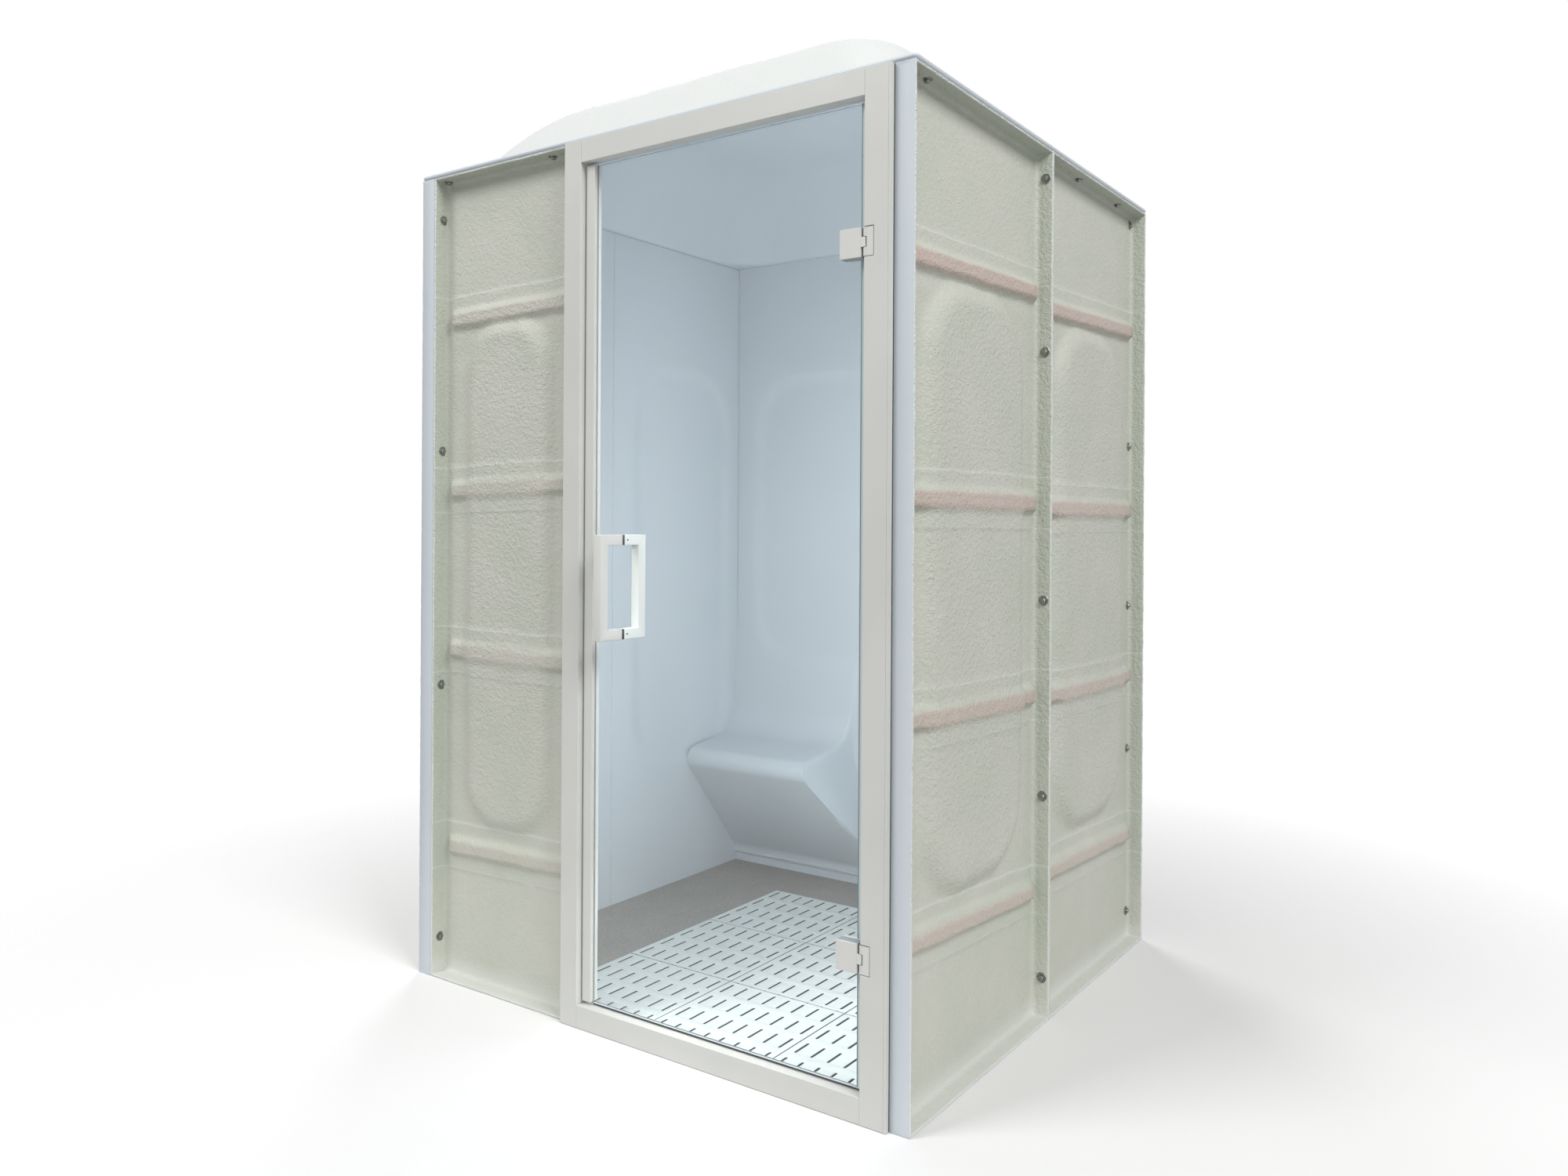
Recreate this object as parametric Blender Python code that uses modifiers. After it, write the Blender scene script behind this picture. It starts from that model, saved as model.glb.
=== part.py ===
"""A bolt-together fibreglass steam room with a framed glass door.

Metres, +Z up. The origin is at the middle of the footprint, on the floor.
The door is in the front wall, which faces -Y.
"""
import math

import bmesh
import bpy
from mathutils import Matrix, Vector

# Cabin
CABIN_WIDTH = 1.506          # over the flange edges of the side walls
CABIN_DEPTH = 1.400          # over the flange edges of the front and back walls
WALL_HEIGHT = 2.130
FLANGE_DEPTH = 0.048         # from a wall's inner face to its flange edge
LAMINATE = 0.006             # fibreglass thickness
CLEARANCE = 0.0003           # between faces that are bolted or laid together

# Raised arch field of a wall panel
FIELD_RELIEF = 0.014
FIELD_SLOPE = 0.016          # run of its sloping border
FIELD_TOP = 1.742
FIELD_BOTTOM = 0.400
FIELD_RADIUS = 0.190
FIELD_MARGIN = 0.072         # from the panel's edge to the field, on the wide panels
FRONT_FIELD_MARGIN = 0.098
FRONT_FIELD_RADIUS = 0.140
CORNER_STEPS = 5             # facets of a rounded corner

# Ribs across the outside of the panels
RIB_HEIGHT = 0.038
RIB_PROUD = 0.024            # above the flat of the panel
RIB_END_GAP = 0.033          # from the end of a rib to the flange
SIDE_RIBS = (1.777, 1.266, 0.792, 0.325)
FRONT_RIBS = (1.777, 1.306, 0.858, 0.342)
BACK_RIBS = (1.800, 1.266)

# Front wall: narrow panel, then the door frame
FRONT_PANEL_WIDTH = 0.4995
FILLER_WIDTH = 0.0066        # strip between the hinge stile and the right wall
FRAME_FACE = 0.055           # width of stiles and head, seen from the front
SILL_HEIGHT = 0.055
FRAME_DEPTH = 0.032
FRAME_PROUD = 0.012          # in front of the flange edges

# Seat moulded into a back wall panel
SEAT_FILLET_RADIUS = 0.105   # between backrest and seat
SEAT_FILLET_HEIGHT = 0.575   # of the fillet's centre
BACKREST_LEAN = 0.012
BACKREST_TOP = 0.950
NOSE_RADIUS = 0.040
NOSE_REACH = 0.279           # from the wall to the front of the nose
NOSE_HEIGHT = 0.410          # of the nose's centre
TOE_REACH = 0.012
TOE_TOP = 0.062
TOE_BOTTOM = 0.040
SEAT_TOP_GAP = 0.2147        # from the middle of the back wall to the free end, on top
SEAT_NOSE_GAP = 0.1927       # the same, under the nose
SEAT_TOE_GAP = 0.0147        # the same, at the toe
SEAT_HOLLOW_TOP = 0.600
SEAT_FIELD_BOTTOM = 0.720

# Roof
ROOF_RIM = 0.012             # thickness of the flat rim
ROOF_OVERHANG = 0.002
DOME_INSET = 0.060
DOME_RUN = 0.300             # from the dome's edge to its crown
DOME_RISE = 0.215
DOME_CORNER = 0.150
DOME_RINGS = 6

# Door
GLASS = 0.008
GLASS_SETBACK = 0.024        # behind the front of the frame
DOOR_SIDE_GAP = 0.005
DOOR_TOP_GAP = 0.006
DOOR_BOTTOM_GAP = 0.008
EDGE_PROFILE_WIDTH = 0.028
EDGE_PROFILE_DEPTH = 0.028
EDGE_PROFILE_GRIP = 0.014    # how far the glass reaches into it
EDGE_SEAL = 0.003
BOTTOM_SEAL = 0.005

# Hinges
HINGE_LEVELS = {"upper": 1.780, "lower": 0.333}
HINGE_HEIGHT = 0.060
HINGE_SETBACK = 0.004        # of the pin, behind the front of the frame
HINGE_OFFSET = 0.001         # of the pin, inside the opening
GLASS_LEAF_WIDTH = 0.050
GLASS_LEAF_GAP = 0.007       # from the pin to the glass leaf
INNER_PLATE = 0.0077
CLAMP_BOSS_RADIUS = 0.006
FRAME_LEAF_WIDTH = 0.023
FRAME_LEAF_DEPTH = 0.012
FRAME_LEAF_STEP = 0.006      # clear room beside the pin for the moving knuckle
LEAF_POCKET_GAP = 0.0008
KNUCKLE_RADIUS = 0.0035
KNUCKLE_HEIGHT = 0.020       # of the moving knuckle
PIN_RADIUS = 0.0015

# Handles
HANDLE_BAR = 0.025
HANDLE_CENTRES = 0.2226
HANDLE_PROJECTION = 0.075
HANDLE_LEVEL = 1.060
HANDLE_FROM_EDGE = 0.104     # from the door's closing edge to the posts
HANDLE_STUD_RADIUS = 0.004
HOLE_CLEARANCE = 0.0008      # round a bolt or stud

# Bolts
BOLT_RADIUS = 0.004
BOLT_HEX_RADIUS = 0.0075
BOLT_HEAD = 0.0055
WASHER_RADIUS = 0.011
WASHER = 0.0018
NUT = 0.0085
BOLT_SIDES = 8
SEAM_BOLT_REACH = 0.031      # from the inner face out to the seam bolts
CORNER_BOLT_REACH = 0.028    # from the back wall's inner face out to its corner bolts
FRONT_BOLT_REACH = 0.022     # the same at the front wall
ROOF_BOLT_REACH = 0.020      # from a wall's inner face out to the roof bolts
SEAM_BOLT_DROPS = (0.067, 0.493)                 # down from the top of the walls
SEAM_BOLT_RISES = (1.027, 0.547, 0.101)          # up from the floor
CORNER_BOLT_DROPS = (0.033, 0.684)
CORNER_BOLT_RISES = (0.979, 0.559, 0.081)
FRONT_BOLT_DROPS = (0.108, 0.728)
FRONT_BOLT_RISES = (0.775, 0.099)
ROOF_BOLT_SIDE_PLACES = (-0.603, 0.236, 0.533)   # along the right wall, from its seam
ROOF_BOLT_FRONT_PLACES = (0.025, 0.419)          # along the front panel, from the left wall

# Floor
FLOOR_TRAY = 0.006
DRAIN_RADIUS = 0.045
DRAIN_FROM_CORNER = (0.225, 0.132)   # in from the right and back walls
DRAIN_SLOT = 0.006
DRAIN_SLOT_PITCH = 0.016
MAT_SIZE = 0.3505
MAT_THICKNESS = 0.014
MAT_GAP = 0.0006
MAT_ROWS = 3
MAT_SLOTS_ACROSS = 8
MAT_SLOTS_ALONG = 4
MAT_SLOT_WIDTH = 0.0065
MAT_SLOT_LENGTH = 0.058

# Steam nozzle
NOZZLE_PLACE = (0.075, 0.300)    # across and up, on the back wall
NOZZLE_DISC_RADIUS = 0.030
NOZZLE_DISC = 0.008
NOZZLE_DOME = 0.014
NOZZLE_SHOULDER = (0.015, 0.012)    # radius and height, above the disc, where the dome bends
NOZZLE_TAIL_RADIUS = 0.011
NOZZLE_NUT_RADIUS = 0.019
NOZZLE_NUT = 0.010
NOZZLE_TAIL = 0.034
ROUND_SIDES = 16

# Places that several pieces share
INNER_X = CABIN_WIDTH / 2 - FLANGE_DEPTH
INNER_Y = CABIN_DEPTH / 2 - FLANGE_DEPTH
FRONT = -CABIN_DEPTH / 2 - FRAME_PROUD
FRAME_BACK = FRONT + FRAME_DEPTH
FRAME_LEFT = -INNER_X + FRONT_PANEL_WIDTH + 2 * CLEARANCE
FRAME_RIGHT = INNER_X - FILLER_WIDTH - 2 * CLEARANCE
OPENING_LEFT = FRAME_LEFT + FRAME_FACE
OPENING_RIGHT = FRAME_RIGHT - FRAME_FACE
OPENING_TOP = WALL_HEIGHT - FRAME_FACE
GLASS_FRONT = FRONT + GLASS_SETBACK
GLASS_BACK = GLASS_FRONT + GLASS
DOOR_LEFT = OPENING_LEFT + DOOR_SIDE_GAP
GLASS_LEFT = DOOR_LEFT + EDGE_PROFILE_WIDTH - EDGE_PROFILE_GRIP
GLASS_RIGHT = OPENING_RIGHT - DOOR_SIDE_GAP
GLASS_BOTTOM = SILL_HEIGHT + DOOR_BOTTOM_GAP
GLASS_TOP = OPENING_TOP - DOOR_TOP_GAP
PIN_X = OPENING_RIGHT - HINGE_OFFSET
PIN_Y = FRONT + HINGE_SETBACK
HANDLE_X = DOOR_LEFT + HANDLE_FROM_EDGE
POST_LEVELS = (HANDLE_LEVEL - HANDLE_CENTRES / 2, HANDLE_LEVEL + HANDLE_CENTRES / 2)
BOLT_HOLE_RADIUS = BOLT_RADIUS + HOLE_CLEARANCE
SIDE_PANEL_WIDTH = CABIN_DEPTH / 2 - CLEARANCE / 2
BACK_PANEL_WIDTH = INNER_X - CLEARANCE * 1.5
ROOF_BASE = WALL_HEIGHT + CLEARANCE
MAT_BASE = FLOOR_TRAY + CLEARANCE
HOLE_REACH = LAMINATE + ROOF_RIM
WALL_GRIP = 2 * LAMINATE + 3 * CLEARANCE
ROOF_GRIP = LAMINATE + ROOF_RIM + 3 * CLEARANCE

for old in list(bpy.data.objects):
    bpy.data.objects.remove(old, do_unlink=True)
PARTS = bpy.data.collections.new("steam_room")
CUTTERS = bpy.data.collections.new("steam_room_cutters")
bpy.context.scene.collection.children.link(PARTS)
bpy.context.scene.collection.children.link(CUTTERS)


def finish(name, colour, roughness, metallic=0.0, transmission=0.0):
    """One Principled material."""
    material = bpy.data.materials.new(name)
    material.use_nodes = True
    shader = material.node_tree.nodes["Principled BSDF"]
    shader.inputs["Base Color"].default_value = (*colour, 1.0)
    shader.inputs["Roughness"].default_value = roughness
    shader.inputs["Metallic"].default_value = metallic
    shader.inputs["Transmission Weight"].default_value = transmission
    return material


FIBREGLASS = finish("fibreglass", (0.56, 0.58, 0.52), 0.6)
ROOF_WHITE = finish("roof_fibreglass", (0.80, 0.83, 0.84), 0.6)
FRAME_WHITE = finish("frame_enamel", (0.62, 0.62, 0.60), 0.4)
CLEAR_GLASS = finish("clear_glass", (0.90, 0.96, 0.95), 0.02, transmission=1.0)
CLEAR_SEAL = finish("clear_seal", (0.70, 0.80, 0.80), 0.25, transmission=0.6)
DARK_RUBBER = finish("dark_rubber", (0.02, 0.02, 0.02), 0.7)
ZINC = finish("zinc_steel", (0.60, 0.62, 0.64), 0.35, metallic=1.0)
MAT_PLASTIC = finish("mat_plastic", (0.74, 0.78, 0.77), 0.5)
FLOOR_GREY = finish("floor_grey", (0.22, 0.21, 0.19), 0.7)


def add_block(bm, low, high):
    """A box between two corners."""
    low, high = Vector(low), Vector(high)
    place = Matrix.Translation((low + high) / 2) @ Matrix.Diagonal((*(high - low), 1.0))
    bmesh.ops.create_cube(bm, size=1.0, matrix=place)


def add_rod(bm, start, end, radius, sides=BOLT_SIDES):
    """A cylinder between two points."""
    start, end = Vector(start), Vector(end)
    turn = (end - start).to_track_quat("Z", "Y").to_matrix().to_4x4()
    bmesh.ops.create_cone(bm, cap_ends=True, segments=sides, radius1=radius, radius2=radius,
                          depth=(end - start).length, matrix=Matrix.Translation((start + end) / 2) @ turn)


def add_outline(bm, points, run):
    """A flat outline of 3-D points, drawn out along the vector run."""
    face = bm.faces.new([bm.verts.new(point) for point in points])
    grown = bmesh.ops.extrude_face_region(bm, geom=[face])["geom"]
    bmesh.ops.translate(bm, verts=[v for v in grown if isinstance(v, bmesh.types.BMVert)], vec=run)


def rounded_rectangle(width, height, radius):
    """Points round a rectangle with round corners, about its middle."""
    points = []
    for quarter in range(4):
        sign_x = (1, -1, -1, 1)[quarter]
        sign_y = (1, 1, -1, -1)[quarter]
        middle = Vector((sign_x * (width / 2 - radius), sign_y * (height / 2 - radius)))
        for step in range(CORNER_STEPS + 1):
            angle = math.pi / 2 * (quarter + step / CORNER_STEPS)
            points.append(middle + radius * Vector((math.cos(angle), math.sin(angle))))
    return points


def mesh_object(name, bm, collection):
    """An object from a bmesh, with its faces pointing out."""
    bmesh.ops.recalc_face_normals(bm, faces=bm.faces)
    mesh = bpy.data.meshes.new(name)
    bm.to_mesh(mesh)
    bm.free()
    obj = bpy.data.objects.new(name, mesh)
    collection.objects.link(obj)
    return obj


def part(name, bm, material, parent=None):
    """A finished piece of the cabin."""
    obj = mesh_object(name, bm, PARTS)
    obj.data.materials.append(material)
    obj.parent = parent
    return obj


def shape(obj, name, bm, operation):
    """Joins a shape to a piece, or cuts it out. The tool stays hidden and moves with the piece."""
    tool = mesh_object(obj.name + "_" + name, bm, CUTTERS)
    tool.hide_render = True
    tool.display_type = "WIRE"
    tool.parent = obj
    modifier = obj.modifiers.new(name, "BOOLEAN")
    modifier.operation = operation
    modifier.solver = "EXACT"
    modifier.object = tool
    return tool


def add_field(bm, width, height, radius, near, far):
    """A block with round corners between two depths, which narrows by the field's slope toward the far one."""
    face = bm.faces.new([bm.verts.new((p.x, near, p.y)) for p in rounded_rectangle(width, height, radius)])
    grown = bmesh.ops.extrude_face_region(bm, geom=[face])["geom"]
    ring = [v for v in grown if isinstance(v, bmesh.types.BMVert)]
    slope = 2 * FIELD_SLOPE
    bmesh.ops.scale(bm, verts=ring, vec=((width - slope) / width, 1, (height - slope) / height))
    bmesh.ops.translate(bm, verts=ring, vec=(0, far - near, 0))


def wall_panel(name, place, width, rib_levels, margin=FIELD_MARGIN, radius=FIELD_RADIUS, seat_hand=0):
    """A tray panel: across X, outward +Y, with its inner face at y = 0 before it is placed."""
    field_bottom = SEAT_FIELD_BOTTOM if seat_hand else FIELD_BOTTOM
    half = width / 2
    bm = bmesh.new()
    add_block(bm, (-half, 0, 0), (half, FLANGE_DEPTH, WALL_HEIGHT))
    panel = part(name, bm, FIBREGLASS)
    panel.matrix_world = place

    bm = bmesh.new()
    add_block(bm, (LAMINATE - half, LAMINATE, LAMINATE),
              (half - LAMINATE, FLANGE_DEPTH + LAMINATE, WALL_HEIGHT - LAMINATE))
    shape(panel, "pocket", bm, "DIFFERENCE")

    middle = Vector((0, 0, (FIELD_TOP + field_bottom) / 2))
    field_width = width - 2 * margin
    field_height = FIELD_TOP - field_bottom
    bm = bmesh.new()
    add_field(bm, field_width + 2 * LAMINATE, field_height + 2 * LAMINATE, radius + LAMINATE,
              LAMINATE / 2, FIELD_RELIEF + LAMINATE)
    bmesh.ops.translate(bm, verts=bm.verts, vec=middle)
    shape(panel, "field", bm, "UNION")

    rib_half = half - LAMINATE - RIB_END_GAP
    bm = bmesh.new()
    for level in rib_levels:
        add_block(bm, (-rib_half, LAMINATE / 2, level - RIB_HEIGHT / 2),
                  (rib_half, LAMINATE + RIB_PROUD, level + RIB_HEIGHT / 2))
    shape(panel, "ribs", bm, "UNION")
    if seat_hand:
        add_seat(panel, seat_hand, width)

    bm = bmesh.new()
    add_field(bm, field_width, field_height, radius, -BACKREST_LEAN, FIELD_RELIEF)
    bmesh.ops.translate(bm, verts=bm.verts, vec=middle)
    shape(panel, "recess", bm, "DIFFERENCE")
    return panel


def arc(middle, radius, start, end):
    """Points along an arc, from one angle to another."""
    angles = [start + (end - start) * step / CORNER_STEPS for step in range(CORNER_STEPS + 1)]
    return [(middle[0] + radius * math.cos(a), middle[1] + radius * math.sin(a)) for a in angles]


def seat_profile(depth):
    """Reach and height along the seat, from the backrest to the toe, at a depth behind its surface."""
    fillet = (BACKREST_LEAN + SEAT_FILLET_RADIUS, SEAT_FILLET_HEIGHT)
    nose = (NOSE_REACH - NOSE_RADIUS, NOSE_HEIGHT)
    across, up = nose[0] - fillet[0], nose[1] - fillet[1]
    tilt = math.atan2(up, across) + math.asin((SEAT_FILLET_RADIUS + NOSE_RADIUS) / math.hypot(across, up))
    across, up = nose[0] - TOE_REACH, nose[1] - TOE_TOP
    front = math.atan2(up, across) - math.asin(NOSE_RADIUS / math.hypot(across, up)) - math.pi / 2
    points = arc(fillet, SEAT_FILLET_RADIUS + depth, math.pi, 1.5 * math.pi + tilt)
    points += arc(nose, NOSE_RADIUS - depth, math.pi / 2 + tilt, front)
    points.append((TOE_REACH - depth * math.cos(front), TOE_TOP - depth * math.sin(front)))
    return points


def seat_front_outline(hand, half, depth):
    """The seat seen from the front: square at the side wall, sloping at its free end."""
    wall = -half - LAMINATE
    middle = half + CLEARANCE / 2
    gaps = ((0.0, SEAT_TOE_GAP), (TOE_BOTTOM, SEAT_TOE_GAP), (NOSE_HEIGHT - NOSE_RADIUS, SEAT_NOSE_GAP),
            (NOSE_HEIGHT + NOSE_RADIUS, SEAT_TOP_GAP), (WALL_HEIGHT, SEAT_TOE_GAP))
    free_end = [(middle - gap - depth, level) for level, gap in gaps]
    outline = [(wall, 0.0)] + free_end + [(wall, WALL_HEIGHT)]
    return [(hand * across, -CABIN_DEPTH, up) for across, up in outline]


def add_seat(panel, hand, width):
    """Moulds the seat into a back panel, hollow from behind. Hand 1 has its side wall at -X, hand -1 at +X."""
    half = width / 2
    skin = [(-LAMINATE / 2, BACKREST_TOP), (0, BACKREST_TOP)] + seat_profile(0)
    skin += [(TOE_REACH, TOE_BOTTOM), (-LAMINATE / 2, TOE_BOTTOM)]
    behind = seat_profile(LAMINATE)
    hollow = [(-2 * LAMINATE, SEAT_HOLLOW_TOP), (BACKREST_LEAN - LAMINATE, SEAT_HOLLOW_TOP)] + behind
    hollow.append((-2 * LAMINATE, behind[-1][1]))
    solids = (("seat", skin, 0, "UNION"), ("hollow", hollow, LAMINATE, "DIFFERENCE"))
    for name, outline, depth, operation in solids:
        bm = bmesh.new()
        add_outline(bm, [(-half + depth, -reach, up) for reach, up in outline], (width, 0, 0))
        bmesh.ops.scale(bm, verts=bm.verts, vec=(hand, 1, 1))
        tool = shape(panel, name, bm, operation)
        bm = bmesh.new()
        add_outline(bm, seat_front_outline(hand, half, depth), (0, 2 * CABIN_DEPTH, 0))
        shape(tool, "end", bm, "INTERSECT")


def drill(panel, place, bolts):
    """Cuts the holes of some bolts, given as world points with axes, through a placed panel."""
    bm = bmesh.new()
    back = place.inverted()
    for point, axis in bolts:
        add_rod(bm, back @ (point - axis * HOLE_REACH), back @ (point + axis * HOLE_REACH), BOLT_HOLE_RADIUS)
    shape(panel, "holes", bm, "DIFFERENCE")


def add_bolt(name, seat, direction, grip):
    """A bolt with washer and nut. Its head sits at the seat and points along the direction."""
    profile = [(0, WASHER + BOLT_HEAD), (BOLT_HEX_RADIUS, WASHER + BOLT_HEAD), (BOLT_HEX_RADIUS, WASHER),
               (WASHER_RADIUS, WASHER), (WASHER_RADIUS, 0), (BOLT_RADIUS, 0), (BOLT_RADIUS, -grip),
               (BOLT_HEX_RADIUS, -grip), (BOLT_HEX_RADIUS, -grip - NUT), (0, -grip - NUT)]
    turned(name, profile, seat, direction, ZINC, BOLT_SIDES)


def turned(name, profile, place, direction, material, sides, closed=False):
    """A turned piece from radius and height pairs, which run down its outer side."""
    bm = bmesh.new()
    verts = [bm.verts.new((radius, 0, height)) for radius, height in profile]
    for first, second in zip(verts, verts[1:] + verts[:1] if closed else verts[1:]):
        bm.edges.new((first, second))
    obj = part(name, bm, material)
    obj.location = place
    obj.rotation_euler = Vector(direction).to_track_quat("Z", "Y").to_euler()
    screw = obj.modifiers.new("turn", "SCREW")
    screw.steps = sides
    screw.render_steps = sides
    screw.use_merge_vertices = True
    screw.merge_threshold = 0.00001
    obj.data.shade_smooth()


def bolt_levels(drops, rises):
    """Heights of the bolts up a seam, some measured from its top and some from the floor."""
    return [WALL_HEIGHT - drop for drop in drops] + list(rises)


def standing(x, y, degrees):
    """Where a wall panel stands, turned so that its outside faces away from the cabin."""
    return Matrix.Translation((x, y, 0)) @ Matrix.Rotation(math.radians(degrees), 4, "Z")


def build_walls():
    """Seven wall panels and the bolts that show on them."""
    side_y = CLEARANCE / 2 + SIDE_PANEL_WIDTH / 2
    back_x = CLEARANCE / 2 + BACK_PANEL_WIDTH / 2
    front_x = -INNER_X + CLEARANCE + FRONT_PANEL_WIDTH / 2
    places = {
        "right_front_panel": standing(INNER_X, -side_y, -90),
        "right_rear_panel": standing(INNER_X, side_y, -90),
        "left_front_panel": standing(-INNER_X, -side_y, 90),
        "left_rear_panel": standing(-INNER_X, side_y, 90),
        "front_panel": standing(front_x, -INNER_Y, 180),
        "back_left_seat_panel": standing(-back_x, INNER_Y, 0),
        "back_right_seat_panel": standing(back_x, INNER_Y, 0),
    }
    panels = {}
    for name in ("right_front_panel", "right_rear_panel", "left_front_panel", "left_rear_panel"):
        panels[name] = wall_panel(name, places[name], SIDE_PANEL_WIDTH, SIDE_RIBS)
    panels["front_panel"] = wall_panel("front_panel", places["front_panel"], FRONT_PANEL_WIDTH, FRONT_RIBS,
                                       FRONT_FIELD_MARGIN, FRONT_FIELD_RADIUS)
    for name, hand in (("back_left_seat_panel", 1), ("back_right_seat_panel", -1)):
        panels[name] = wall_panel(name, places[name], BACK_PANEL_WIDTH, BACK_RIBS, seat_hand=hand)

    along_x, along_y, along_z = Vector((1, 0, 0)), Vector((0, 1, 0)), Vector((0, 0, 1))
    seat = LAMINATE + CLEARANCE
    holes = {name: [] for name in panels}
    for number, level in enumerate(bolt_levels(SEAM_BOLT_DROPS, SEAM_BOLT_RISES), 1):
        point = Vector((INNER_X + SEAM_BOLT_REACH, 0, level))
        add_bolt(f"right_seam_bolt_{number}", point - along_y * (seat + CLEARANCE / 2), -along_y, WALL_GRIP)
        holes["right_front_panel"].append((point, along_y))
        holes["right_rear_panel"].append((point, along_y))
    for number, level in enumerate(bolt_levels(CORNER_BOLT_DROPS, CORNER_BOLT_RISES), 1):
        point = Vector((INNER_X, INNER_Y + CORNER_BOLT_REACH, level))
        add_bolt(f"rear_corner_bolt_{number}", point + along_x * seat, along_x, WALL_GRIP)
        holes["right_rear_panel"].append((point, along_x))
        holes["back_right_seat_panel"].append((point, along_x))
    for number, level in enumerate(bolt_levels(FRONT_BOLT_DROPS, FRONT_BOLT_RISES), 1):
        point = Vector((-INNER_X, -INNER_Y - FRONT_BOLT_REACH, level))
        add_bolt(f"front_corner_bolt_{number}", point + along_x * (seat + CLEARANCE), along_x, WALL_GRIP)
        holes["left_front_panel"].append((point, along_x))
        holes["front_panel"].append((point, along_x))
    roof_points = []
    for y in ROOF_BOLT_SIDE_PLACES:
        roof_points.append(Vector((INNER_X + ROOF_BOLT_REACH, y, WALL_HEIGHT)))
        holes["right_front_panel" if y < 0 else "right_rear_panel"].append((roof_points[-1], along_z))
    for place in ROOF_BOLT_FRONT_PLACES:
        roof_points.append(Vector((place - INNER_X, -INNER_Y - ROOF_BOLT_REACH, WALL_HEIGHT)))
        holes["front_panel"].append((roof_points[-1], along_z))
    for number, point in enumerate(roof_points, 1):
        add_bolt(f"roof_bolt_{number}", point - along_z * seat, -along_z, ROOF_GRIP)
    for name, bolts in holes.items():
        if bolts:
            drill(panels[name], places[name], bolts)
    across, up = NOZZLE_PLACE
    bm = bmesh.new()
    start = Vector((across, -HOLE_REACH, up)) - Vector((back_x, 0, 0))
    add_rod(bm, start, start + along_y * 2 * HOLE_REACH, NOZZLE_TAIL_RADIUS + HOLE_CLEARANCE, ROUND_SIDES)
    shape(panels["back_right_seat_panel"], "nozzle_hole", bm, "DIFFERENCE")
    return roof_points


def add_dome(bm, depth, start):
    """A closed dome at a depth under the roof's surface, standing on the level start."""
    width = CABIN_WIDTH - 2 * (DOME_INSET + depth)
    length = CABIN_DEPTH - 2 * (DOME_INSET + depth)
    corners = rounded_rectangle(width, length, DOME_CORNER)
    face = bm.faces.new([bm.verts.new((p.x, p.y, start)) for p in corners])
    level = start
    inset = 0.0
    for ring in range(DOME_RINGS + 1):
        share = ring / DOME_RINGS
        next_inset = DOME_RUN * share
        next_level = ROOF_BASE + ROOF_RIM - depth + DOME_RISE * (1 - (1 - share) ** 2)
        grown = bmesh.ops.extrude_face_region(bm, geom=[face])["geom"]
        if ring:
            bm.faces.remove(face)
        face = next(item for item in grown if isinstance(item, bmesh.types.BMFace))
        across = (width - 2 * next_inset) / (width - 2 * inset)
        along = (length - 2 * next_inset) / (length - 2 * inset)
        bmesh.ops.scale(bm, verts=face.verts, vec=(across, along, 1))
        bmesh.ops.translate(bm, verts=face.verts, vec=(0, 0, next_level - level))
        inset, level = next_inset, next_level


def build_roof(bolt_points):
    """The flat rim and its hollow dome, in one piece."""
    half_x = CABIN_WIDTH / 2 + ROOF_OVERHANG
    half_y = CABIN_DEPTH / 2 + ROOF_OVERHANG
    bm = bmesh.new()
    add_block(bm, (-half_x, -half_y, ROOF_BASE), (half_x, half_y, ROOF_BASE + ROOF_RIM))
    roof = part("roof_dome", bm, ROOF_WHITE)
    bm = bmesh.new()
    add_dome(bm, 0, ROOF_BASE + ROOF_RIM / 2)
    shape(roof, "dome", bm, "UNION")
    bm = bmesh.new()
    add_dome(bm, LAMINATE, ROOF_BASE - ROOF_RIM)
    shape(roof, "hollow", bm, "DIFFERENCE")
    drill(roof, Matrix.Identity(4), [(point, Vector((0, 0, 1))) for point in bolt_points])


def build_frame():
    """Door frame: the stiles run through, and the head and sill sit between them."""
    inner_left, inner_right = OPENING_LEFT + CLEARANCE, OPENING_RIGHT - CLEARANCE
    members = {
        "frame_lock_stile": ((FRAME_LEFT, 0), (OPENING_LEFT, WALL_HEIGHT)),
        "frame_hinge_stile": ((OPENING_RIGHT, 0), (FRAME_RIGHT, WALL_HEIGHT)),
        "frame_head": ((inner_left, OPENING_TOP), (inner_right, WALL_HEIGHT)),
        "frame_sill": ((inner_left, 0), (inner_right, SILL_HEIGHT)),
    }
    for name, (low, high) in members.items():
        bm = bmesh.new()
        add_block(bm, (low[0], FRONT, low[1]), (high[0], FRAME_BACK, high[1]))
        member = part(name, bm, FRAME_WHITE)
        if name == "frame_hinge_stile":
            bm = bmesh.new()
            for level in HINGE_LEVELS.values():
                reach = HINGE_HEIGHT / 2 + LEAF_POCKET_GAP
                add_block(bm, (OPENING_RIGHT - FRAME_LEAF_DEPTH, FRONT - FRAME_LEAF_DEPTH, level - reach),
                          (PIN_X + FRAME_LEAF_WIDTH + LEAF_POCKET_GAP, FRONT + FRAME_LEAF_DEPTH + CLEARANCE,
                           level + reach))
            shape(member, "leaf_pockets", bm, "DIFFERENCE")
    bm = bmesh.new()
    add_block(bm, (FRAME_RIGHT + CLEARANCE, -CABIN_DEPTH / 2, 0), (INNER_X - CLEARANCE, -INNER_Y, WALL_HEIGHT))
    part("frame_filler_strip", bm, FRAME_WHITE)


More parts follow.
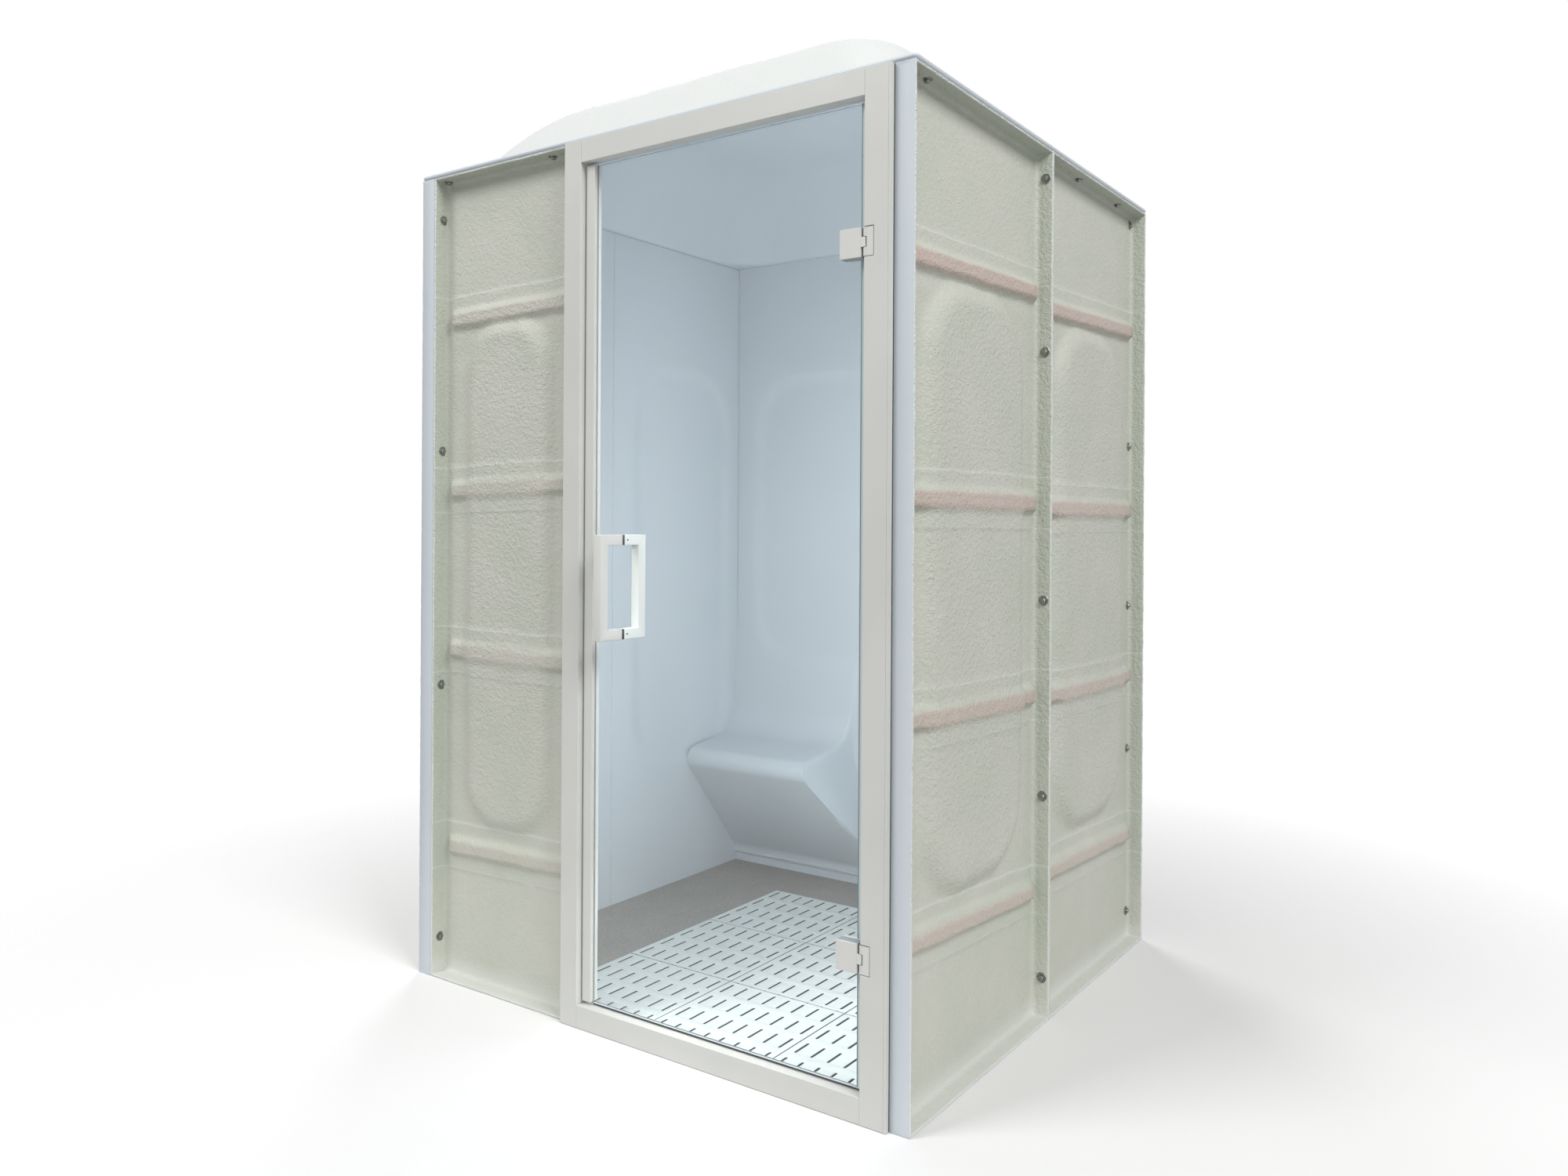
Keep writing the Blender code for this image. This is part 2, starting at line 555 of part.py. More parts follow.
def build_hinge_fixed(side, level):
    """The leaf in the stile, with a knuckle at each end, and the pin."""
    half = HINGE_HEIGHT / 2
    bm = bmesh.new()
    add_block(bm, (PIN_X + FRAME_LEAF_STEP, FRONT, level - half),
              (PIN_X + FRAME_LEAF_WIDTH, FRONT + FRAME_LEAF_DEPTH, level + half))
    leaf = part(f"{side}_hinge_frame_leaf", bm, FRAME_WHITE)
    knuckle_end = KNUCKLE_HEIGHT / 2 + CLEARANCE
    for end, low, high in (("top", knuckle_end, half), ("bottom", -half, -knuckle_end)):
        bm = bmesh.new()
        add_block(bm, (PIN_X, PIN_Y - KNUCKLE_RADIUS, level + low),
                  (PIN_X + 2 * FRAME_LEAF_STEP, PIN_Y + KNUCKLE_RADIUS, level + high))
        shape(leaf, end + "_web", bm, "UNION")
        bm = bmesh.new()
        add_rod(bm, (PIN_X, PIN_Y, level + low), (PIN_X, PIN_Y, level + high), KNUCKLE_RADIUS, ROUND_SIDES)
        shape(leaf, end + "_knuckle", bm, "UNION")
    bm = bmesh.new()
    add_rod(bm, (PIN_X, PIN_Y, level - HINGE_HEIGHT), (PIN_X, PIN_Y, level + HINGE_HEIGHT),
            PIN_RADIUS + CLEARANCE, BOLT_SIDES)
    shape(leaf, "bore", bm, "DIFFERENCE")
    bm = bmesh.new()
    add_rod(bm, (PIN_X, PIN_Y, level - half), (PIN_X, PIN_Y, level + half), PIN_RADIUS, BOLT_SIDES)
    part(f"{side}_hinge_pin", bm, ZINC)


def build_hinge_moving(side, level, swing):
    """The leaf on the glass, with its knuckle and clamp boss, and the plate behind the glass."""
    half = HINGE_HEIGHT / 2
    right = PIN_X - GLASS_LEAF_GAP
    left = right - GLASS_LEAF_WIDTH
    bm = bmesh.new()
    add_block(bm, (left, FRONT, level - half), (right, GLASS_FRONT - CLEARANCE, level + half))
    leaf = door_part(f"{side}_hinge_glass_leaf", bm, FRAME_WHITE, swing)
    knuckle = KNUCKLE_HEIGHT / 2
    bm = bmesh.new()
    add_block(bm, (right - GLASS_LEAF_GAP, PIN_Y - KNUCKLE_RADIUS, level - knuckle),
              (PIN_X, PIN_Y + KNUCKLE_RADIUS, level + knuckle))
    shape(leaf, "web", bm, "UNION")
    bm = bmesh.new()
    add_rod(bm, (PIN_X, PIN_Y, level - knuckle), (PIN_X, PIN_Y, level + knuckle), KNUCKLE_RADIUS, ROUND_SIDES)
    shape(leaf, "knuckle", bm, "UNION")
    bm = bmesh.new()
    middle = (left + right) / 2
    add_rod(bm, (middle, GLASS_FRONT - GLASS, level), (middle, GLASS_BACK, level),
            CLAMP_BOSS_RADIUS, ROUND_SIDES)
    shape(leaf, "clamp_boss", bm, "UNION")
    bm = bmesh.new()
    add_rod(bm, (PIN_X, PIN_Y, level - HINGE_HEIGHT), (PIN_X, PIN_Y, level + HINGE_HEIGHT),
            PIN_RADIUS + CLEARANCE, BOLT_SIDES)
    shape(leaf, "bore", bm, "DIFFERENCE")
    bm = bmesh.new()
    add_block(bm, (left, GLASS_BACK + CLEARANCE, level - half), (right, GLASS_BACK + INNER_PLATE, level + half))
    door_part(f"{side}_hinge_inner_plate", bm, FRAME_WHITE, swing)
    return Vector((middle, 0, level))


def door_part(name, bm, material, swing):
    """A piece of the door, which hangs on the empty on the hinge axis."""
    obj = part(name, bm, material, swing)
    obj.matrix_parent_inverse = Matrix.Translation(swing.location).inverted()
    return obj


def add_handle(bm, seat, direction):
    """A D handle: two posts and a bar, from its seat on the glass along the direction."""
    outer = seat + direction * HANDLE_PROJECTION
    inner = outer - direction * HANDLE_BAR
    low, high = POST_LEVELS[0] - HANDLE_BAR / 2, POST_LEVELS[1] + HANDLE_BAR / 2
    outline = [(seat, low), (outer, low), (outer, high), (seat, high), (seat, high - HANDLE_BAR),
               (inner, high - HANDLE_BAR), (inner, low + HANDLE_BAR), (seat, low + HANDLE_BAR)]
    add_outline(bm, [(HANDLE_X - HANDLE_BAR / 2, y, z) for y, z in outline], (HANDLE_BAR, 0, 0))


def build_door():
    """The glass leaf and all that swings with it, round the empty on the hinge axis."""
    swing = bpy.data.objects.new("door_swing_axis", None)
    swing.location = (PIN_X, PIN_Y, 0)
    PARTS.objects.link(swing)
    clamps = [build_hinge_moving(side, level, swing) for side, level in HINGE_LEVELS.items()]

    bm = bmesh.new()
    add_block(bm, (GLASS_LEFT, GLASS_FRONT, GLASS_BOTTOM), (GLASS_RIGHT, GLASS_BACK, GLASS_TOP))
    glass = door_part("door_glass", bm, CLEAR_GLASS, swing)
    bm = bmesh.new()
    for level in POST_LEVELS:
        add_rod(bm, (HANDLE_X, GLASS_FRONT - GLASS, level), (HANDLE_X, GLASS_BACK + GLASS, level),
                HANDLE_STUD_RADIUS + HOLE_CLEARANCE, ROUND_SIDES)
    for clamp in clamps:
        add_rod(bm, (clamp.x, GLASS_FRONT - GLASS, clamp.z), (clamp.x, GLASS_BACK + GLASS, clamp.z),
                CLAMP_BOSS_RADIUS + HOLE_CLEARANCE, ROUND_SIDES)
    shape(glass, "holes", bm, "DIFFERENCE")

    middle = (GLASS_FRONT + GLASS_BACK) / 2
    half = EDGE_PROFILE_DEPTH / 2
    profile_right = DOOR_LEFT + EDGE_PROFILE_WIDTH
    bm = bmesh.new()
    add_block(bm, (DOOR_LEFT, middle - half, GLASS_BOTTOM), (profile_right, middle + half, GLASS_TOP))
    profile = door_part("door_edge_profile", bm, FRAME_WHITE, swing)
    bm = bmesh.new()
    add_block(bm, (GLASS_LEFT - CLEARANCE, GLASS_FRONT - CLEARANCE, GLASS_BOTTOM - GLASS),
              (profile_right + GLASS, GLASS_BACK + CLEARANCE, GLASS_TOP + GLASS))
    shape(profile, "glass_slot", bm, "DIFFERENCE")

    bm = bmesh.new()
    add_block(bm, (GLASS_RIGHT + CLEARANCE, GLASS_FRONT, GLASS_BOTTOM),
              (GLASS_RIGHT + CLEARANCE + EDGE_SEAL, GLASS_BACK, GLASS_TOP))
    door_part("door_hinge_seal", bm, CLEAR_SEAL, swing)
    bm = bmesh.new()
    add_block(bm, (profile_right + CLEARANCE, GLASS_FRONT, GLASS_BOTTOM - CLEARANCE - BOTTOM_SEAL),
              (GLASS_RIGHT, GLASS_BACK, GLASS_BOTTOM - CLEARANCE))
    door_part("door_bottom_seal", bm, DARK_RUBBER, swing)

    bm = bmesh.new()
    add_handle(bm, GLASS_FRONT - CLEARANCE, -1)
    handle = door_part("outer_handle", bm, FRAME_WHITE, swing)
    bm = bmesh.new()
    for level in POST_LEVELS:
        add_rod(bm, (HANDLE_X, GLASS_FRONT - HANDLE_BAR, level), (HANDLE_X, GLASS_BACK, level),
                HANDLE_STUD_RADIUS)
    shape(handle, "studs", bm, "UNION")
    bm = bmesh.new()
    add_handle(bm, GLASS_BACK + CLEARANCE, 1)
    door_part("inner_handle", bm, FRAME_WHITE, swing)


def build_floor():
    """Floor tray with its drain, and the square of slotted mats on it."""
    edge_x, edge_y = INNER_X - CLEARANCE, INNER_Y - CLEARANCE
    bm = bmesh.new()
    add_block(bm, (-edge_x, -edge_y, 0), (edge_x, edge_y, FLOOR_TRAY))
    tray = part("floor_tray", bm, FLOOR_GREY)
    bm = bmesh.new()
    add_block(bm, (FRAME_LEFT, FRAME_BACK + CLEARANCE, 0), (FRAME_RIGHT, -edge_y + FLOOR_TRAY, FLOOR_TRAY))
    shape(tray, "threshold", bm, "UNION")
    bm = bmesh.new()
    x, y = INNER_X - DRAIN_FROM_CORNER[0], INNER_Y - DRAIN_FROM_CORNER[1]
    add_rod(bm, (x, y, -FLOOR_TRAY), (x, y, 2 * FLOOR_TRAY), DRAIN_RADIUS + CLEARANCE, ROUND_SIDES)
    shape(tray, "drain_hole", bm, "DIFFERENCE")

    bm = bmesh.new()
    add_rod(bm, (x, y, 0), (x, y, FLOOR_TRAY), DRAIN_RADIUS, ROUND_SIDES)
    drain = part("floor_drain", bm, ZINC)
    bm = bmesh.new()
    for number in (-1, 0, 1):
        slot_x = x + number * DRAIN_SLOT_PITCH
        reach = math.sqrt(DRAIN_RADIUS ** 2 - DRAIN_SLOT_PITCH ** 2) - 2 * DRAIN_SLOT
        add_block(bm, (slot_x - DRAIN_SLOT / 2, y - reach, -FLOOR_TRAY),
                  (slot_x + DRAIN_SLOT / 2, y + reach, 2 * FLOOR_TRAY))
    shape(drain, "slots", bm, "DIFFERENCE")

    half = (MAT_SIZE - MAT_GAP) / 2
    across, along = MAT_SIZE / MAT_SLOTS_ACROSS, MAT_SIZE / MAT_SLOTS_ALONG
    for row in range(MAT_ROWS):
        for column in range(MAT_ROWS):
            x = edge_x - MAT_SIZE * (column + 0.5)
            y = -edge_y + MAT_SIZE * (row + 0.5)
            bm = bmesh.new()
            add_block(bm, (-half, -half, 0), (half, half, MAT_THICKNESS))
            mat = part(f"floor_mat_{row * MAT_ROWS + column + 1}", bm, MAT_PLASTIC)
            mat.location = (x, y, MAT_BASE)
            bm = bmesh.new()
            for i in range(MAT_SLOTS_ACROSS):
                for j in range(MAT_SLOTS_ALONG):
                    slot_x = across * (i + 0.5) - MAT_SIZE / 2
                    slot_y = along * (j + 0.5) - MAT_SIZE / 2
                    add_block(bm, (slot_x - MAT_SLOT_WIDTH / 2, slot_y - MAT_SLOT_LENGTH / 2, -MAT_THICKNESS),
                              (slot_x + MAT_SLOT_WIDTH / 2, slot_y + MAT_SLOT_LENGTH / 2, 2 * MAT_THICKNESS))
            shape(mat, "slots", bm, "DIFFERENCE")


def build_nozzle():
    """Steam nozzle through the back wall, with its nut outside."""
    across, up = NOZZLE_PLACE
    into_room = Vector((0, -1, 0))
    top = NOZZLE_DISC + NOZZLE_DOME
    shoulder = (NOZZLE_SHOULDER[0], NOZZLE_DISC + NOZZLE_SHOULDER[1])
    profile = [(0, top), shoulder, (NOZZLE_DISC_RADIUS, NOZZLE_DISC),
               (NOZZLE_DISC_RADIUS, 0), (NOZZLE_TAIL_RADIUS, 0), (NOZZLE_TAIL_RADIUS, -NOZZLE_TAIL),
               (0, -NOZZLE_TAIL)]
    turned("steam_nozzle", profile, (across, INNER_Y - CLEARANCE, up), into_room, ZINC, ROUND_SIDES)
    bore = NOZZLE_TAIL_RADIUS + CLEARANCE
    ring = [(NOZZLE_NUT_RADIUS, 0), (NOZZLE_NUT_RADIUS, -NOZZLE_NUT), (bore, -NOZZLE_NUT), (bore, 0)]
    turned("steam_nozzle_nut", ring, (across, INNER_Y + LAMINATE + CLEARANCE, up), into_room, ZINC, ROUND_SIDES,
           closed=True)


def main():
    build_roof(build_walls())
    build_frame()
    for side, level in HINGE_LEVELS.items():
        build_hinge_fixed(side, level)
    build_door()
    build_floor()
    build_nozzle()


main()
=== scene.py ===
# %% [markdown]
# # A bolt-together steam room
# The real cabin is a kit: seven fibreglass trays stand on the floor with their flanges turned outward,
# bolts draw the flanges together, a domed tray closes the top and a framed glass door closes the front.
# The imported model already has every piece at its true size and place. This lesson lays the surfaces over
# it: hand-laid fibreglass outside, smooth gelcoat inside, enamelled door fittings, clear glass and mats.

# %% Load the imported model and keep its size
import math

import bmesh
import bpy
import numpy as np
from mathutils import Matrix, Vector


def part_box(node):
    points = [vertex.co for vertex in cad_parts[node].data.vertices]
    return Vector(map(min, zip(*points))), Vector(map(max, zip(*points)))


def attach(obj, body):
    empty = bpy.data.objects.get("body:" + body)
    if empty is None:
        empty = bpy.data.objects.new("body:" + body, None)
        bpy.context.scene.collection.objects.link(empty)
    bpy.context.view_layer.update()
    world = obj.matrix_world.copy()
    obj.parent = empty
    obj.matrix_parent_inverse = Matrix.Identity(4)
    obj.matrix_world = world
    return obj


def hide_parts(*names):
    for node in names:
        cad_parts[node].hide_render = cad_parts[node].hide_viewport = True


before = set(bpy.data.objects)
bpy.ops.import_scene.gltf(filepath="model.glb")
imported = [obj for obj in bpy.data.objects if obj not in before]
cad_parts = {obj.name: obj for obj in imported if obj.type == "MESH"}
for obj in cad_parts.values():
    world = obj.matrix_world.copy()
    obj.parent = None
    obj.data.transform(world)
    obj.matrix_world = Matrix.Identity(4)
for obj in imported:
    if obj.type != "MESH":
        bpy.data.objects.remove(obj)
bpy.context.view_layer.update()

# %% [markdown]
# ## The view
# The camera stands where the photographer stood: a little over chest height, about 35 degrees round from
# the front, with the lens level so that upright edges stay upright. A level lens puts the horizon in the
# middle of the picture, so the frame is shifted down a little to hold the whole cabin.

# %% Camera
EYE = Vector((1.8796, -2.7549, 1.2043))
EYE_TURN = math.radians(34.98)
EYE_ROLL = math.radians(0.33)
scene = bpy.context.scene
lens = bpy.data.cameras.new("photo_view")
lens.sensor_width = 36.0
lens.lens = 27.17
lens.shift_y = -0.039
camera = bpy.data.objects.new("photo_view", lens)
camera.matrix_world = (Matrix.Translation(EYE) @ Matrix.Rotation(EYE_TURN, 4, "Z")
                       @ Matrix.Rotation(math.pi / 2, 4, "X") @ Matrix.Rotation(EYE_ROLL, 4, "Z"))
scene.collection.objects.link(camera)
scene.camera = camera
print("camera at", [round(value, 3) for value in EYE])

# %% [markdown]
# ## Materials from nodes
# Every finish here is a Principled shader fed by a few texture nodes. Small helpers keep that readable: one
# starts a material, one adds a node and wires it in a single line, and a few name what the wiring does.
# Colours are written as they look on screen, from 0 to 255, and turned into the linear values that the
# shader wants.

# %% Helpers for materials
def on_screen(red, green, blue):
    """A screen colour as linear values."""
    def linear(value):
        value /= 255
        return value / 12.92 if value <= 0.04045 else ((value + 0.055) / 1.055) ** 2.4
    return (linear(red), linear(green), linear(blue), 1.0)


def start_finish(name, colour, roughness, metallic=0.0):
    """A material with one Principled shader."""
    material = bpy.data.materials.new(name)
    material.use_nodes = True
    shader = material.node_tree.nodes["Principled BSDF"]
    shader.inputs["Base Color"].default_value = colour
    shader.inputs["Roughness"].default_value = roughness
    shader.inputs["Metallic"].default_value = metallic
    return material, material.node_tree, shader


def add_node(tree, kind, wires=None, **settings):
    """A new node. Wires gives its inputs, as plain values or as sockets to link from."""
    node = tree.nodes.new(kind)
    for key, value in settings.items():
        setattr(node, key, value)
    for key, value in (wires or {}).items():
        if isinstance(value, bpy.types.NodeSocket):
            tree.links.new(value, node.inputs[key])
        else:
            node.inputs[key].default_value = value
    return node


print("frame grey in linear values:", [round(value, 3) for value in on_screen(205, 206, 202)])

# %% Helpers for wiring
MID_NOISE = (0.3, 0.7)


def maths(tree, operation, first, second=0.0):
    """One step of arithmetic between sockets or numbers."""
    return add_node(tree, "ShaderNodeMath", {0: first, 1: second}, operation=operation).outputs[0]


def spread(tree, value, low, high, to_low=0.0, to_high=1.0):
    """Maps a range of values to another, clamped."""
    return add_node(tree, "ShaderNodeMapRange", {"Value": value, "From Min": low, "From Max": high,
                                                 "To Min": to_low, "To Max": to_high}).outputs[0]


def blend_colour(tree, share, first, second):
    """Mixes two colours, each a socket or a plain colour."""
    return add_node(tree, "ShaderNodeMix", {0: share, 6: first, 7: second}, data_type="RGBA").outputs[2]


def grain(tree, place, scale, detail=2.0, roughness=0.5):
    """Noise over a place socket."""
    wires = {"Vector": place, "Scale": scale, "Detail": detail, "Roughness": roughness}
    return add_node(tree, "ShaderNodeTexNoise", wires).outputs["Fac"]


def metres(tree):
    """Where a point is on the object, in metres."""
    return add_node(tree, "ShaderNodeTexCoord").outputs["Object"]


def two_tones(tree, shader, noise, low, high, first, second):
    """Lets noise drift the colour between two tones."""
    colour = blend_colour(tree, spread(tree, noise, low, high), first, second)
    tree.links.new(colour, shader.inputs["Base Color"])


def gloss(tree, shader, noise, shiny, dull):
    """Lets noise drift the roughness."""
    tree.links.new(spread(tree, noise, *MID_NOISE, shiny, dull), shader.inputs["Roughness"])


def raise_surface(tree, shader, height, depth):
    """Bump of that depth in metres."""
    wires = {"Height": height, "Distance": depth, "Strength": 1.0}
    tree.links.new(add_node(tree, "ShaderNodeBump", wires).outputs[0], shader.inputs["Normal"])


print("noise is mostly between", *MID_NOISE)

# %% [markdown]
# ## Hand-laid fibreglass
# The outside of each tray is chopped strand mat, rolled down wet: short glass strands lie in every
# direction and stand a fraction of a millimetre proud. A single noise looks like plaster. Instead, five
# noises are each stretched along one direction and cut off low down, so that they read as crossing strands.
# Each tray carries its own coordinates in metres, across, up and out, so the strands lie in the plane of
# whichever wall they are on. The mat is rolled smoother near the foot and stays rougher on raised fields.
# A painted colour on the mesh marks four things: red where the ribs show pink through the wet-out mat,
# green along the trimmed edges and the foot, which are pale, blue under the ribs, where the mat bridges and
# leaves dark pinholes, and alpha on the flanges, where the resin lies thicker and greener and painted shade
# darkens them, and in a band in their corners, which is painted shade only. The alpha fades out at the foot.

# %% Strands
STRAND_ANGLES = (8, 47, 83, 121, 158)
STRANDS_PER_METRE = (52, 190, 120)
STRAND_SHIFT = (3.7, 1.3, 1.0)
STRAND_CUT = (0.54, 0.80)


def strands(tree, place):
    """Short crossing strands, from 0 to 1."""
    total = None
    for number, angle in enumerate(STRAND_ANGLES):
        wires = {"Vector": place, "Rotation": (0, 0, math.radians(angle)),
                 "Location": [number * shift for shift in STRAND_SHIFT]}
        turned = add_node(tree, "ShaderNodeMapping", wires).outputs[0]
        wires = {"Vector": turned, "Scale": STRANDS_PER_METRE}
        stretched = add_node(tree, "ShaderNodeMapping", wires).outputs[0]
        line = spread(tree, grain(tree, stretched, 1.0, 1.0), *STRAND_CUT)
        total = line if total is None else maths(tree, "MAXIMUM", total, line)
    return total


print("strands run", len(STRAND_ANGLES), "ways")

# %% Laminate
SATIN = 0.3
PALE_STRAND, PALE_EDGE = on_screen(226, 228, 220), on_screen(226, 229, 226)
PINHOLE_BROWN = on_screen(104, 98, 88)
STRAND_TINT, RESIN_AND_SHADE_TINT, EDGE_TINT = 0.10, 0.55, 0.8
STRAND_HEIGHT = 0.26
FOOT_SMOOTH = (0.25, 0.75, 0.55, 1.0)
FIELD_ROUGH = (0.008, 0.022, 0.7, 1.2)


def laminate(name, base, stain, pink, resin_shade_colour, depth):
    """Fibreglass as it comes off the roller: tints laid over one another, and strands that stand proud."""
    material, tree, shader = start_finish(name, base, 0.55)
    shader.inputs["Specular IOR Level"].default_value = SATIN
    place = add_node(tree, "ShaderNodeAttribute", attribute_name="sheet").outputs["Vector"]
    marks = add_node(tree, "ShaderNodeAttribute", attribute_name="paint").outputs
    rib, trimmed, bridged = add_node(tree, "ShaderNodeSeparateColor", {0: marks["Color"]}).outputs
    _, up, lift = add_node(tree, "ShaderNodeSeparateXYZ", {0: place}).outputs
    strand = strands(tree, place)
    mottle = grain(tree, place, 60.0, 3.0, 0.6)

    def product(first, second):
        return maths(tree, "MULTIPLY", first, second)

    dark = (base[0] * 0.70, base[1] * 0.73, base[2] * 0.70, 1.0)
    wet = spread(tree, grain(tree, place, 170.0, 3.0, 0.6), 0.34, 0.62, 0.4, 1.0)
    pinholes = spread(tree, grain(tree, place, 240.0, 1.0), 0.69, 0.75)
    colour = base
    for share, tint in ((spread(tree, grain(tree, place, 5.0, 4.0, 0.6), 0.35, 0.7), stain),
                        (spread(tree, mottle, 0.3, 0.6, 0.08, 0.0), dark),
                        (product(strand, STRAND_TINT), PALE_STRAND),
                        # Greener resin on the flanges, with painted shade that darkens the flanges and the
                        # corners beside them.
                        (product(marks["Alpha"], RESIN_AND_SHADE_TINT), resin_shade_colour),
                        (product(rib, wet), pink),
                        (product(bridged, pinholes), PINHOLE_BROWN),
                        (product(trimmed, EDGE_TINT), PALE_EDGE)):
        colour = blend_colour(tree, share, colour, tint)
    tree.links.new(colour, shader.inputs["Base Color"])
    gloss(tree, shader, mottle, 0.34, 0.6)
    height = maths(tree, "ADD", product(strand, STRAND_HEIGHT), grain(tree, place, 95.0, 3.0, 0.6))
    height = product(height, spread(tree, up, *FOOT_SMOOTH))
    height = product(height, spread(tree, lift, *FIELD_ROUGH))
    raise_surface(tree, shader, height, depth)
    return material


WALL_LAMINATE = laminate("wall_laminate", on_screen(206, 207, 197), on_screen(198, 202, 189),
                         on_screen(200, 176, 167), on_screen(177, 185, 172), 0.0034)
# The roof's laminate is painted darker than the walls' as painted shade, to offset the stronger light on its
# top.
ROOF_LAMINATE_SHADED = laminate("roof_laminate_painted_shade", on_screen(171, 176, 178), on_screen(166, 172, 175),
                         on_screen(171, 176, 178), on_screen(168, 174, 173), 0.0008)
print("laminates use", len(WALL_LAMINATE.node_tree.nodes), "nodes each")

# %% [markdown]
# ## Gelcoat
# The mould side of the same trays is gelcoat: bluish white, glossy and almost perfectly smooth. What gives it
# away is a slow ripple in its reflections and a faint cloudiness, so it gets a long-wave bump and a very
# small drift in colour and roughness.

# %% Gelcoat
def gelcoat(name, base, cloud):
    """Smooth mould-side fibreglass."""
    material, tree, shader = start_finish(name, base, 0.42)
    place = metres(tree)
    drift = grain(tree, place, 3.0, 3.0)
    two_tones(tree, shader, drift, *MID_NOISE, base, cloud)
    gloss(tree, shader, drift, 0.38, 0.48)
    raise_surface(tree, shader, grain(tree, place, 9.0, 1.0), 0.0003)
    return material


GELCOAT = gelcoat("gelcoat", on_screen(205, 212, 218), on_screen(201, 209, 215))
print("gelcoat uses", len(GELCOAT.node_tree.nodes), "nodes")

# %% [markdown]
# ## Tray walls
# A tray is one skin: it runs flat across the wall, swells into an arch field, climbs over ribs that are
# wrapped in extra mat, and turns out into a flange on all four sides. Modelling that with separate boxes
# gives hard joins that wet fibreglass never has. A height field does better: a grid of points, each lifted by
# smooth functions of where it is, with extra grid lines where the surface bends. The mould side is a second
# grid on the same lines, and the two share their rim, so the skin is a closed solid.

# %% Helpers for skins
FLANGE = 0.048
SKIN = 0.006
RIM_GROOVE = 0.0012
FLANGE_PROFILE = ((0, RIM_GROOVE), (0, FLANGE - 0.0014), (0.0012, FLANGE), (SKIN - 0.0012, FLANGE - 0.0004),
                  (SKIN, FLANGE - 0.0022), (SKIN + 0.0008, 0.021), (SKIN + 0.0024, 0.0135),
                  (SKIN + 0.0062, 0.0090), (SKIN + 0.0125, 0.0068))
WAVE_COUNT, WAVE_SWELL = 7, 1.7


def ease(low, high, value):
    """0 below low, 1 above high, smooth between."""
    share = np.clip((value - low) / (high - low), 0, 1)
    return share * share * (3 - 2 * share)


def unevenness(across, up, depth, size, seed):
    """Slow waves of about that depth and size in seeded directions."""
    dice = np.random.default_rng(seed)
    total = np.zeros(np.broadcast(across, up).shape)
    for _ in range(WAVE_COUNT):
        angle, phase = dice.uniform(0, 2 * math.pi, 2)
        pitch = 2 * math.pi * dice.uniform(0.6, 1.7) / size
        total += np.sin((across * math.cos(angle) + up * math.sin(angle)) * pitch + phase)
    return depth * (total * WAVE_SWELL / WAVE_COUNT)


def arch_distance(across, up, middle, half, radius):
    """Signed distance to a rectangle with round corners, negative inside."""
    over_x = np.abs(across - middle[0]) - (half[0] - radius)
    over_z = np.abs(up - middle[1]) - (half[1] - radius)
    outside = np.hypot(np.maximum(over_x, 0), np.maximum(over_z, 0))
    return outside + np.minimum(np.maximum(over_x, over_z), 0) - radius


def thin_out(values, least):
    """Sorted grid lines, without those that crowd their neighbour."""
    kept = []
    for value in sorted(values):
        if not kept or value - kept[-1] > least:
            kept.append(value)
    return np.array(kept)


def flange_lines(length, inner):
    """Grid lines across a tray, with how far the flange holds each one out. Inside the tray that is 0."""
    far = [(length - inset, lift) for inset, lift in reversed(FLANGE_PROFILE)]
    lines = np.array([*FLANGE_PROFILE, *((value, 0.0) for value in inner), *far])
    return lines[:, 0], lines[:, 1]


print("flange", FLANGE, "skin", SKIN)

# %% [markdown]
# The grid becomes a mesh in one helper. It welds the two grids along their rim, drops the faces that the weld
# flattens, marks the mould-side faces for gelcoat, and writes the coordinates and the painted colour that
# the laminate reads.

# %% From grids to a solid skin
WELD = 0.00002
SKIN_CREASE = math.radians(50)


def skin_mesh(name, outer, inner, sheet, paint, mould_side):
    """A closed mesh from two grids of world points on the same lines."""
    rows, columns = outer.shape[:2]
    count = rows * columns
    mesh = bpy.data.meshes.new(name)
    index = np.arange(count).reshape(rows, columns)
    quads = np.stack([index[:-1, :-1], index[:-1, 1:], index[1:, 1:], index[1:, :-1]], axis=-1).reshape(-1, 4)
    faces = np.concatenate([quads, quads[:, ::-1] + count])
    points = np.concatenate([outer.reshape(-1, 3), inner.reshape(-1, 3)])
    mesh.from_pydata(points.tolist(), [], faces.tolist())
    flags = np.concatenate([mould_side.reshape(-1), np.ones(len(quads), bool)])
    mesh.polygons.foreach_set("material_index", flags.astype(np.int32))
    marks = mesh.attributes.new("paint", "FLOAT_COLOR", "POINT")
    tint = np.concatenate([paint.reshape(-1, 4), np.zeros((count, 4))])
    marks.data.foreach_set("color", tint.astype(np.float32).reshape(-1))
    spots = mesh.attributes.new("sheet", "FLOAT_VECTOR", "POINT")
    spots.data.foreach_set("vector", np.concatenate([sheet.reshape(-1)] * 2).astype(np.float32))
    work = bmesh.new()
    work.from_mesh(mesh)
    bmesh.ops.remove_doubles(work, verts=work.verts, dist=WELD)
    bmesh.ops.dissolve_degenerate(work, edges=work.edges, dist=WELD)
    bmesh.ops.recalc_face_normals(work, faces=work.faces)
    work.to_mesh(mesh)
    work.free()
    mesh.shade_smooth()
    mesh.set_sharp_from_angle(angle=SKIN_CREASE)
    return mesh


def place_piece(name, mesh, finishes, body, nodes=(), place=None):
    """Puts a mesh in the scene on a body, in place of some nodes."""
    piece = bpy.data.objects.new(name, mesh)
    if place is not None:
        piece.matrix_world = place
    scene.collection.objects.link(piece)
    if not mesh.materials:
        for finish in finishes:
            mesh.materials.append(finish)
    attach(piece, body)
    if nodes:
        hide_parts(*nodes)
    return piece


print("grids are welded within", WELD, "m")

